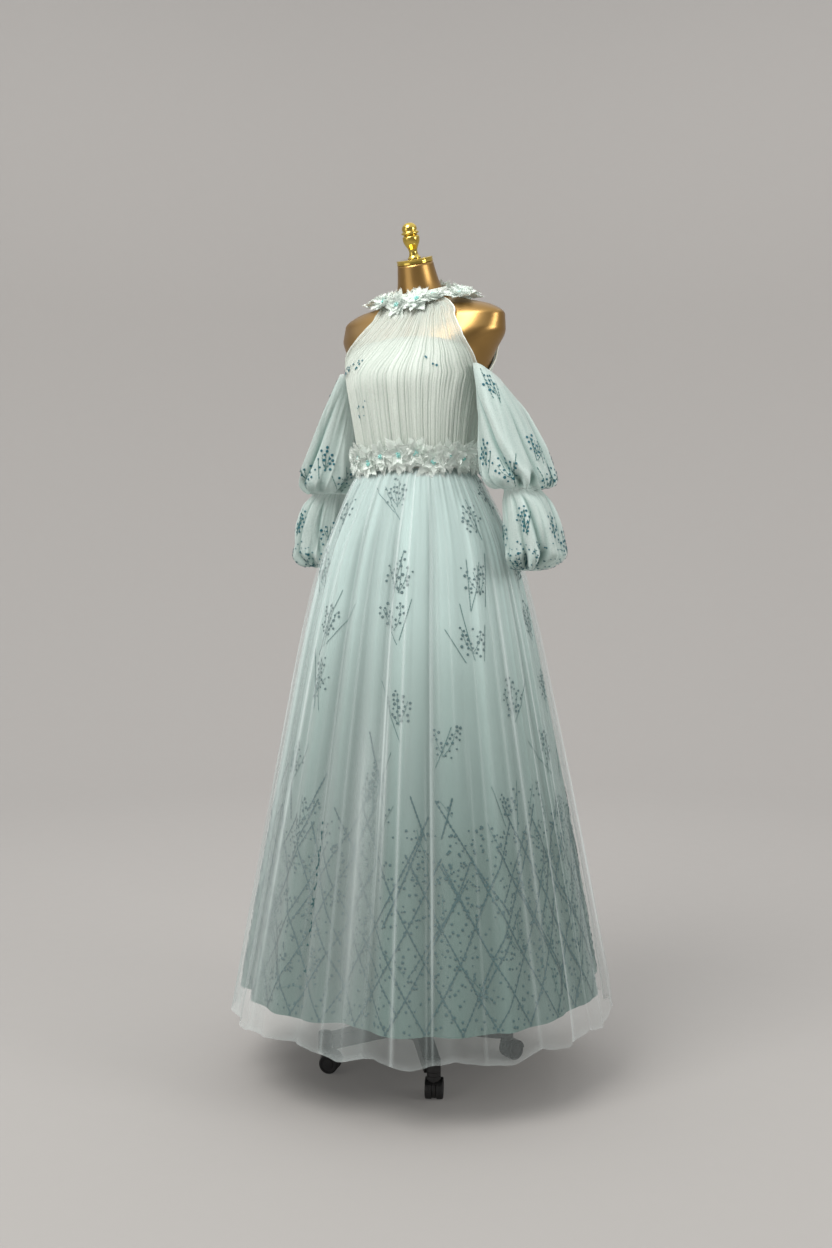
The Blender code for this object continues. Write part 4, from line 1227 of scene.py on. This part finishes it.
def stitched_line(turn, low, high, direction, steepness):
    """A straight row of stitches up the skirt."""
    slope = steepness * math.tau / LATTICE_TURNS / DIAMOND_HEIGHT
    for height in np.arange(low, high, LATTICE_STEP):
        radius = float(np.interp(height, SKIRT_SECTIONS[::-1, 0], SKIRT_SECTIONS[::-1, 1]))
        place = turn + direction * slope * (height - low)
        angle = math.atan(direction * slope * radius)
        lattice.append((height, place, angle, STITCH_LENGTH, rng.uniform(0.0036, 0.0048)))


for direction in (1, -1):
    for number in range(LATTICE_TURNS):
        turn = math.tau * number / LATTICE_TURNS
        stitched_line(turn, LATTICE_LOW, LATTICE_TOP + rng.uniform(-0.08, 0.05), direction, 1.0)
        if rng.random() < 0.6:
            low = rng.uniform(LATTICE_LOW, 0.42)
            shifted = turn + rng.uniform(0.2, 0.8) / LATTICE_TURNS * math.tau
            high = low + rng.uniform(0.08, 0.3)
            stitched_line(shifted, low, high, direction, rng.uniform(0.7, 1.3))
LONG_LINES = 16
for _ in range(LONG_LINES):
    low = rng.uniform(0.50, 0.62)
    turn = rng.uniform(0, math.tau)
    high = low + rng.uniform(0.05, 0.13)
    direction = rng.choice((-1, 1))
    stitched_line(turn, low, high, direction, rng.uniform(0.6, 1.2))
print("lattice stitches", len(lattice))
BETWEEN_DOTS = 3200
for _ in range(BETWEEN_DOTS):
    height = LATTICE_LOW + (LATTICE_TOP - LATTICE_LOW) * rng.random() ** 0.9
    across = rng.uniform(0.0038, 0.0066)
    berries.append((height, rng.uniform(0, math.tau), 0.0, across, across))

# %% Vines in the lattice
# Short curling stems with berries of two sizes, denser towards the ragged top edge.
VINES = 110
VINE_STEP = 0.0065
for _ in range(VINES):
    height = EMBROIDERED_HEM + 0.02 + (LATTICE_TOP - EMBROIDERED_HEM) * rng.uniform(0, 1.0)
    turn = rng.uniform(0, math.tau)
    heading = rng.uniform(-0.9, 0.9)
    bend = rng.uniform(-0.16, 0.16)
    radius = float(np.interp(height, SKIRT_SECTIONS[::-1, 0], SKIRT_SECTIONS[::-1, 1]))
    for step in range(rng.integers(6, 13)):
        heading += bend * 0.6
        height += VINE_STEP * math.cos(heading)
        turn += VINE_STEP * math.sin(heading) / radius
        if height > LATTICE_LOW:
            stems.append((height, turn, heading, 0.0075, 0.0014))
            if step % 2:
                side = rng.choice((-1, 1)) * rng.uniform(0.004, 0.008)
                across = rng.uniform(0.0036, 0.0066)
                berries.append((height, turn + side / radius, 0.0, across, across))

MARKS_TOP = WAIST_SEAM - 0.008  # no marks under the belt
berries = [row for row in berries if LATTICE_LOW <= row[0] < MARKS_TOP]
stems = [row for row in stems if LATTICE_LOW <= row[0] < MARKS_TOP]
marks_on("skirt_berries", inner_surface, berries, 0.0011, petrol_thread)
marks_on("skirt_stems", inner_surface, stems, 0.0006, green_thread)
marks_on("skirt_lattice", inner_surface, lattice, 0.0007, petrol_thread)
print("berries in all", len(berries))

# %% [markdown]
# ## Sleeves
#
# Each sleeve is two balloons of tulle, gathered at the top, at the pinch between them
# and at the cuff. The upper one sags over the pinch. The folds and the lobes in which
# the cloth sags are placed on the CAD's sections. Thin diagonal creases run
# between them, and the gathers fan out from each seam.

# %% Sleeve sections
# Columns: height, centre x, half x, half y, gather depth, slope of the edge.
UPPER_SLEEVE = np.array((
    (1.2120, 0.248, 0.034, 0.046, 0.0015, 0.0),
    (1.2230, 0.246, 0.050, 0.064, 0.0030, 0.0),
    (1.2480, 0.238, 0.065, 0.079, 0.0040, 0.0),
    (1.2950, 0.226, 0.060, 0.075, 0.0040, 0.0),
    (1.3700, 0.204, 0.044, 0.062, 0.0030, 0.1),
    (1.4445, 0.1736, 0.016, 0.040, 0.0, 0.4),
))
LOWER_SLEEVE = np.array((
    (1.0480, 0.264, 0.021, 0.027, 0.0020, 0.0),
    (1.0600, 0.269, 0.036, 0.046, 0.0030, 0.0),
    (1.0850, 0.276, 0.052, 0.068, 0.0040, 0.0),
    (1.1300, 0.273, 0.051, 0.067, 0.0050, 0.0),
    (1.1850, 0.261, 0.044, 0.058, 0.0040, 0.0),
    (1.2117, 0.248, 0.034, 0.046, 0.0015, 0.0),
))
# Folds placed one by one. Columns: level and turn where a fold starts, level and turn
# where it ends, width in degrees, depth (a trough is negative).
UPPER_FOLDS = (
    (0.8, 314, 4.9, 246, 6, -0.0090), (0.8, 330, 4.9, 262, 12, 0.0065), (0.9, 350, 4.2, 322, 7, -0.0050),
    (0.8, 30, 4.2, 12, 8, -0.0050), (0.9, 64, 3.8, 40, 12, 0.0055), (0.8, 98, 4.6, 76, 7, -0.0080),
    (0.8, 126, 4.0, 110, 12, 0.0055), (0.9, 156, 4.2, 140, 7, -0.0060), (0.8, 205, 3.8, 222, 12, 0.0055),
)
LOWER_FOLDS = (
    (4.7, 296, 0.9, 338, 7, -0.0095), (4.6, 318, 1.0, 358, 14, 0.0065), (4.6, 272, 1.0, 292, 6, -0.0045),
    (4.8, 20, 0.8, 14, 8, -0.0050), (4.8, 62, 0.8, 46, 12, 0.0055), (4.7, 110, 0.8, 86, 7, -0.0080),
    (4.7, 160, 0.8, 178, 8, -0.0060), (4.8, 205, 0.8, 198, 12, 0.0055), (4.8, 236, 0.8, 222, 7, -0.0050),
)
# Where the cloth sags into lobes or is drawn in between them. Columns: level, turn,
# reach in levels, reach in degrees, how far out, how far down.
UPPER_LOBES = (
    (1.4, 266, 0.9, 26, 0.005, 0.006), (1.1, 306, 0.8, 8, -0.009, -0.002), (1.0, 318, 0.8, 8, 0.004, 0.008),
    (1.0, 331, 0.9, 9, -0.011, -0.012), (1.1, 355, 1.0, 17, 0.005, 0.006), (1.2, 38, 0.9, 14, 0.009, 0.003),
    (1.0, 68, 0.8, 9, -0.010, -0.010), (1.1, 95, 1.0, 16, 0.006, 0.006), (1.0, 126, 0.8, 9, -0.009, -0.008),
    (1.2, 160, 1.0, 20, 0.005, 0.006), (1.0, 198, 0.8, 9, -0.008, -0.008), (1.2, 226, 0.9, 14, 0.006, 0.006),
    (5.0, 265, 1.5, 30, 0.015, 0.0),
)
LOWER_LOBES = (
    (1.2, 262, 0.9, 16, 0.004, 0.003), (1.1, 287, 0.8, 8, -0.008, -0.006), (1.2, 308, 0.8, 10, 0.008, 0.006),
    (1.2, 331, 0.9, 9, -0.011, -0.009), (1.4, 10, 1.2, 22, 0.006, 0.003), (1.3, 38, 1.1, 12, 0.004, 0.002),
    (1.2, 62, 0.8, 9, -0.010, -0.008), (1.3, 92, 1.0, 18, 0.006, 0.004), (1.2, 128, 0.8, 9, -0.009, -0.007),
    (1.3, 165, 1.0, 18, 0.006, 0.004), (1.2, 200, 0.8, 9, -0.008, -0.006), (1.3, 228, 0.9, 13, 0.005, 0.004),
)
FOLD_GAIN = 1.5  # how deep the folds and lobes are against their tables
LOBE_GAIN = 1.40
TIERS = {
    "upper": (UPPER_SLEEVE, UPPER_FOLDS, UPPER_LOBES),
    "lower": (LOWER_SLEEVE, LOWER_FOLDS, LOWER_LOBES),
}
FINE_CREASES = 17  # thin diagonal ones between the placed folds
FINE_CREASE_DEPTH = 0.0030


def fine_creases(share, turn):
    """Thin creases that run down and round a tier, about -1 to 1. share is from its
    bottom to its top."""
    total = np.zeros(np.broadcast(share, turn).shape)
    for number in range(FINE_CREASES):
        start = math.tau * (number + 0.6 * uneven(number)) / FINE_CREASES
        drift = math.radians(26 + 22 * uneven(number + 3))
        width = math.radians(4.2 + 1.6 * uneven(number + 9))
        away = np.abs((turn - start + drift * share + math.pi) % math.tau - math.pi) / width
        fade = smooth_step(share * 6) * smooth_step((1 - share) * 5)
        fade = fade * (0.65 + 0.35 * np.sin(7 * share + number))
        total += (1 if number % 2 else -1) * np.exp(-(away**CREASE_POINT)) * fade
    return total


def sleeve_surface(part, side, level, turn, offset=0.0):
    """A point of a sleeve tier. side is 1 on the left and -1 on the right."""
    tier, folds, lobes = TIERS[part]
    level, turn = np.broadcast_arrays(np.asarray(level, float), np.asarray(turn, float))
    height, centre, half_x, half_y, gather, slope = np.moveaxis(along(tier, level), -1, 0)
    top = len(tier) - 1
    ends = np.clip(np.exp(-level / 0.55) + np.exp(-(top - level) / 0.8), 0, 1)
    fine = 0.6 * np.sin(26 * turn + 1.3 * np.sin(3 * turn))
    fine = fine + 0.4 * np.sin(43 * turn + 2 * np.sin(5 * turn + 1))
    out = gather * 0.45 * fine * ends
    body = np.sin(math.pi * np.clip(level / top, 0, 1)) ** 0.7
    for low, start, high, end, width, depth in folds:
        share = (level - low) / (high - low)
        middle = np.radians(start + (end - start) * share)
        away = np.abs((turn - middle + math.pi) % math.tau - math.pi) / math.radians(width)
        fade = smooth_step(share * 4 + 0.4) * smooth_step((1 - share) * 3 + 0.2)
        out = out + FOLD_GAIN * depth * np.exp(-(away**CREASE_POINT)) * fade * body
    out = out + FINE_CREASE_DEPTH * fine_creases(level / top, turn)
    sag = np.zeros(out.shape)
    held = smooth_step(level / 0.7) * (smooth_step((top - level) / 0.7) if part == "lower" else 1.0)
    for middle_level, middle_turn, reach, width, push, drop in lobes:
        away = (turn - math.radians(middle_turn) + math.pi) % math.tau - math.pi
        near = np.exp(-(((level - middle_level) / reach) ** 2) - (away / math.radians(width)) ** 2) * held
        out, sag = out + LOBE_GAIN * push * near, sag + LOBE_GAIN * drop * near
    x = centre + (half_x + out + offset) * np.cos(turn)
    y = (half_y + out + offset) * np.sin(turn)
    return np.stack((side * x, y, height - slope * y - sag), axis=-1)


SLEEVE_COLUMNS = 300
SLEEVE_ROWS = 60


def sleeve_tier(label, part, side):
    """One balloon of a sleeve, with the values for its material."""
    tier = TIERS[part][0]
    level = np.linspace(0, len(tier) - 1, SLEEVE_ROWS)[:, None]
    turn = np.linspace(0, math.tau, SLEEVE_COLUMNS, endpoint=False)[None, :]
    if side < 0:
        turn = turn[:, ::-1]
    points = sleeve_surface(part, side, level, turn)
    dense = np.clip((soften(cloth_density(points), 2) - 1.0) * 1.2, 0, 1)
    middle = points[..., :2].mean(axis=1, keepdims=True)
    away = np.linalg.norm(points[..., :2] - middle, axis=-1)
    # Painted shade: darker where the cloth lies further in than the cloth around it, in its fold troughs.
    shade = np.clip(0.30 + (soften(away, 110) - away) / 0.006, 0, 1)
    piece = cloth_piece(f"{label}_sleeve_{part}", points, True, sleeve_tulle, gathered=dense, trough=shade)
    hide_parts(f"sleeve_{part}_{label}")


for label, side in (("left", 1), ("right", -1)):
    sleeve_tier(label, "upper", side)
    sleeve_tier(label, "lower", side)

# %% Sleeve berries
# Columns: tier, level of the sprig's middle, its turn, and its size.
SLEEVE_SPRIGS = (
    ("upper", 4.55, 300, 0.034), ("upper", 3.1, 350, 0.036), ("upper", 2.0, 32, 0.036),
    ("upper", 2.2, 292, 0.044), ("upper", 1.7, 5, 0.040), ("upper", 2.6, 60, 0.042),
    ("upper", 1.9, 105, 0.040), ("upper", 3.0, 150, 0.040), ("upper", 1.8, 200, 0.040),
    ("upper", 2.8, 245, 0.040),
    ("lower", 3.4, 292, 0.034), ("lower", 3.2, 350, 0.038), ("lower", 2.6, 40, 0.038),
    ("lower", 3.0, 95, 0.036), ("lower", 2.4, 150, 0.036), ("lower", 3.0, 210, 0.036),
    ("lower", 1.4, 275, 0.036), ("lower", 1.2, 325, 0.036),
)
SLEEVE_RADIUS = 0.062
SLEEVE_BERRY_SWELL = 0.96
CUFF_BERRIES = 260
CUFF_LOW = 1.052
CUFF_HEIGHT = 0.055  # how far up the berries of the cuff reach


def sleeve_marks(label, side):
    """Sprigs on both tiers of a sleeve and loose berries at its cuff. The right sleeve's
    are the left one's in a mirror."""
    rng = np.random.default_rng(60)
    for part, (tier, _, _) in TIERS.items():
        berries, stems = [], []
        for where, level, turn_deg, size in SLEEVE_SPRIGS:
            if where == part:
                height = float(along(tier, np.array([level]))[0, 0])
                turn = math.radians(turn_deg)
                spread((berries, stems), rng, size, height, turn, SLEEVE_RADIUS, SLEEVE_BERRY_SWELL)
        if part == "lower":
            for _ in range(CUFF_BERRIES):
                across = rng.uniform(0.0024, 0.0046)
                height = CUFF_LOW + CUFF_HEIGHT * rng.random() ** 1.8
                berries.append((height, rng.uniform(0, math.tau), 0.0, across, across))
        low, high = tier[0, 0] + 0.003, tier[-1, 0] - 0.006

        def surface(height, turn):
            return sleeve_surface(part, 1, level_at(np.clip(height, low, high), tier), turn, 0.0006)

        kinds = (("berries", berries, 0.0010, teal_thread), ("stems", stems, 0.0006, green_thread))
        for kind, rows, rise, finish in kinds:
            kept = [row for row in rows if low < row[0] < high]
            piece = marks_on(f"{label}_{part}_sleeve_{kind}", surface, kept, rise, finish)
            if side < 0:
                piece.data.transform(Matrix.Scale(-1, 4, (1, 0, 0)))
                piece.data.flip_normals()


sleeve_marks("left", 1)
sleeve_marks("right", -1)

# %% [markdown]
# ## Bodice embroidery and stitched edge
#
# Small groups of berries lie on the gathers of the bust and near the waist, and two
# rows of short stitches hold the lining's top edge.

# %% Bodice marks
RIDGE_TOP = 0.0092  # just over the highest gathers
# Columns: level, place from side seam to side seam, and how many berries.
BERRY_GROUPS = ((2.30, -0.60, 14), (2.45, -0.42, 12), (2.48, 0.44, 4), (0.92, -0.27, 7))


def bust_surface(level, across):
    """The gathered front at a level, for across from -1 to 1."""
    return dress_surface(level, halter_turn(level, FRONT, across), RIDGE_TOP)


rng = np.random.default_rng(91)
bodice_berries = []
for level, across, count in BERRY_GROUPS:
    for _ in range(count):
        size = rng.uniform(0.0034, 0.0058)
        place = (level + rng.uniform(-0.20, 0.20), across + rng.uniform(-0.10, 0.10))
        bodice_berries.append((*place, 0.0, size, size))
marks_on("bodice_berries", bust_surface, bodice_berries, 0.0009, teal_thread)

EDGE_STITCH_STEP = 0.016
STITCH_ROWS = (0.992, 0.972)  # as shares of the lining's height
for label, column in (("front", FRONT), ("back", BACK)):
    across = np.arange(-0.98, 0.98, EDGE_STITCH_STEP)
    middles, normals, forwards = [], [], []
    for share in STITCH_ROWS:
        line = lining_point(column, share, across, LINING_OFFSET + 0.0004)
        ahead = np.gradient(line, axis=0)
        ahead /= np.linalg.norm(ahead, axis=1, keepdims=True)
        above = lining_point(column, share, across, LINING_OFFSET + 0.0014) - line
        above /= np.linalg.norm(above, axis=1, keepdims=True)
        middles.append(line)
        normals.append(above)
        forwards.append(ahead)
    count = sum(len(line) for line in middles)
    thread_marks(
        f"lining_stitches_{label}",
        np.concatenate(middles),
        np.concatenate(normals),
        np.concatenate(forwards),
        np.full(count, 0.0050),
        np.full(count, 0.0012),
        0.0004,
        green_thread,
    )
print("bodice berries", len(bodice_berries))

# %% [markdown]
# ## Stand and casters
#
# Four tapered steel arms carry twin-wheel casters. The arms, hub and pole keep their CAD
# shape. The casters stand in the foreground, so each gets rounder wheels with a tread
# and a hub, a hooded fork and a ribbed socket.

# %% Stand materials
for name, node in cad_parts.items():
    if name.startswith(("stand_pole", "stand_hub", "stand_leg")):
        node.data.materials.clear()
        node.data.materials.append(black_paint)

# %% Caster sizes
STAND_Y = -0.020
CASTER_REACH = 0.195
CASTER_TURNS_DEG = (45, 135, 225, 315)
CASTER_HEADINGS_DEG = (250, 20, 200, 300)
WHEEL_RADIUS = 0.020
CASTER_TRAIL = 0.012
# Radius and distance from the slot's middle: tread with a groove, rim, dish and hub cap.
WHEEL_SIDE = (
    (0.0060, 0.0045), (0.0185, 0.0045), (0.0196, 0.0052), (0.0200, 0.0065), (0.0200, 0.0100),
    (0.0197, 0.0103), (0.0197, 0.0111), (0.0200, 0.0114), (0.0200, 0.0152), (0.0194, 0.0171),
    (0.0180, 0.0180), (0.0154, 0.0178), (0.0148, 0.0166), (0.0108, 0.0160), (0.0102, 0.0172),
    (0.0070, 0.0178), (0.0035, 0.0180), (0.0005, 0.0180),
)
AXLE_RADIUS = 0.0030
AXLE_HALF = 0.004  # half of the axle that shows between the wheels
SOCKET_PROFILE = (
    (0.0045, 0.0435), (0.0132, 0.0435), (0.0140, 0.0443), (0.0140, 0.0505), (0.0133, 0.0511),
    (0.0133, 0.0521), (0.0140, 0.0527), (0.0140, 0.0585), (0.0133, 0.0591), (0.0133, 0.0601),
    (0.0140, 0.0607), (0.0140, 0.0798), (0.0136, 0.0812), (0.0122, 0.0820), (0.0005, 0.0820),
)
FORK_HEAD_PROFILE = (
    (0.0036, 0.0280), (0.0038, 0.0400), (0.0108, 0.0405), (0.0115, 0.0410), (0.0115, 0.0426),
    (0.0110, 0.0431), (0.0042, 0.0431), (0.0040, 0.0440), (0.0040, 0.0650), (0.0005, 0.0655),
)
WEB_PROFILE = (
    (0.0035, -0.0038), (0.0180, -0.0038), (0.0185, -0.0030), (0.0185, 0.0030), (0.0180, 0.0038),
    (0.0035, 0.0038),
)
HOOD_RADIUS = 0.0207  # inside, 0.7 mm clear of the wheels
HOOD_THICKNESS = 0.0014
HOOD_HALF_WIDTH = 0.0178
HOOD_ARC_DEG = (38, 172)


# %% Casters
def hood_points():
    """The hood's section swept over the wheels, round the axle along local Z."""
    inner, outer, edge = HOOD_RADIUS, HOOD_RADIUS + HOOD_THICKNESS, HOOD_HALF_WIDTH
    bevel = 0.0005
    section = (
        (inner, -edge), (outer - bevel, -edge), (outer, bevel - edge), (outer, edge - bevel),
        (outer - bevel, edge), (inner, edge),
    )
    angles = np.radians(np.linspace(*HOOD_ARC_DEG, 36))
    return [[(r * math.cos(a), r * math.sin(a), z) for r, z in section] for a in angles]


def swept_piece(name, rows, finish, place, body):
    """A closed section swept along rows of points, capped at both ends."""
    count = len(rows[0])
    points = np.array([place @ Vector(point) for row in rows for point in row])
    faces = grid_quads(len(rows), count, True).tolist()
    faces += [list(reversed(range(count))), list(range(len(points) - count, len(points)))]
    piece = new_piece(name, points, faces, finish, body)
    piece.data.set_sharp_from_angle(angle=math.radians(38))
    return piece


far_wheel = [(r, -a) for r, a in reversed(WHEEL_SIDE)]
wheel_profile = far_wheel + [(AXLE_RADIUS, -AXLE_HALF), (AXLE_RADIUS, AXLE_HALF)] + list(WHEEL_SIDE)
for number, (turn_deg, heading_deg) in enumerate(zip(CASTER_TURNS_DEG, CASTER_HEADINGS_DEG), start=1):
    foot = Matrix.Translation((0.0, STAND_Y, 0.0)) @ Matrix.Rotation(math.radians(turn_deg), 4, "Z")
    upright = Matrix.Translation(foot @ Vector((CASTER_REACH, 0.0, 0.0)))
    heading = upright @ Matrix.Rotation(math.radians(heading_deg), 4, "Z")
    trailed = heading @ Matrix.Translation((-CASTER_TRAIL, 0.0, WHEEL_RADIUS))
    axle = trailed @ Matrix.Rotation(math.pi / 2, 4, "X")
    socket = spun_piece(f"ribbed_socket_{number}", SOCKET_PROFILE, 40, black_nylon, upright)
    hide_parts(f"caster_socket_{number}")
    wheels = spun_piece(f"twin_wheels_{number}", wheel_profile, 48, caster_tread, axle, f"wheels_{number}")
    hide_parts(f"caster_wheels_{number}")
    head = spun_piece(f"fork_head_{number}", FORK_HEAD_PROFILE, 32, black_nylon, heading, f"swivel_{number}")
    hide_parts(f"caster_fork_{number}")
    spun_piece(f"fork_web_{number}", WEB_PROFILE, 48, black_nylon, axle, f"swivel_{number}")
    swept_piece(f"fork_hood_{number}", hood_points(), black_nylon, axle, f"swivel_{number}")
print("casters", len(CASTER_TURNS_DEG), "wheel profile rows", len(wheel_profile))
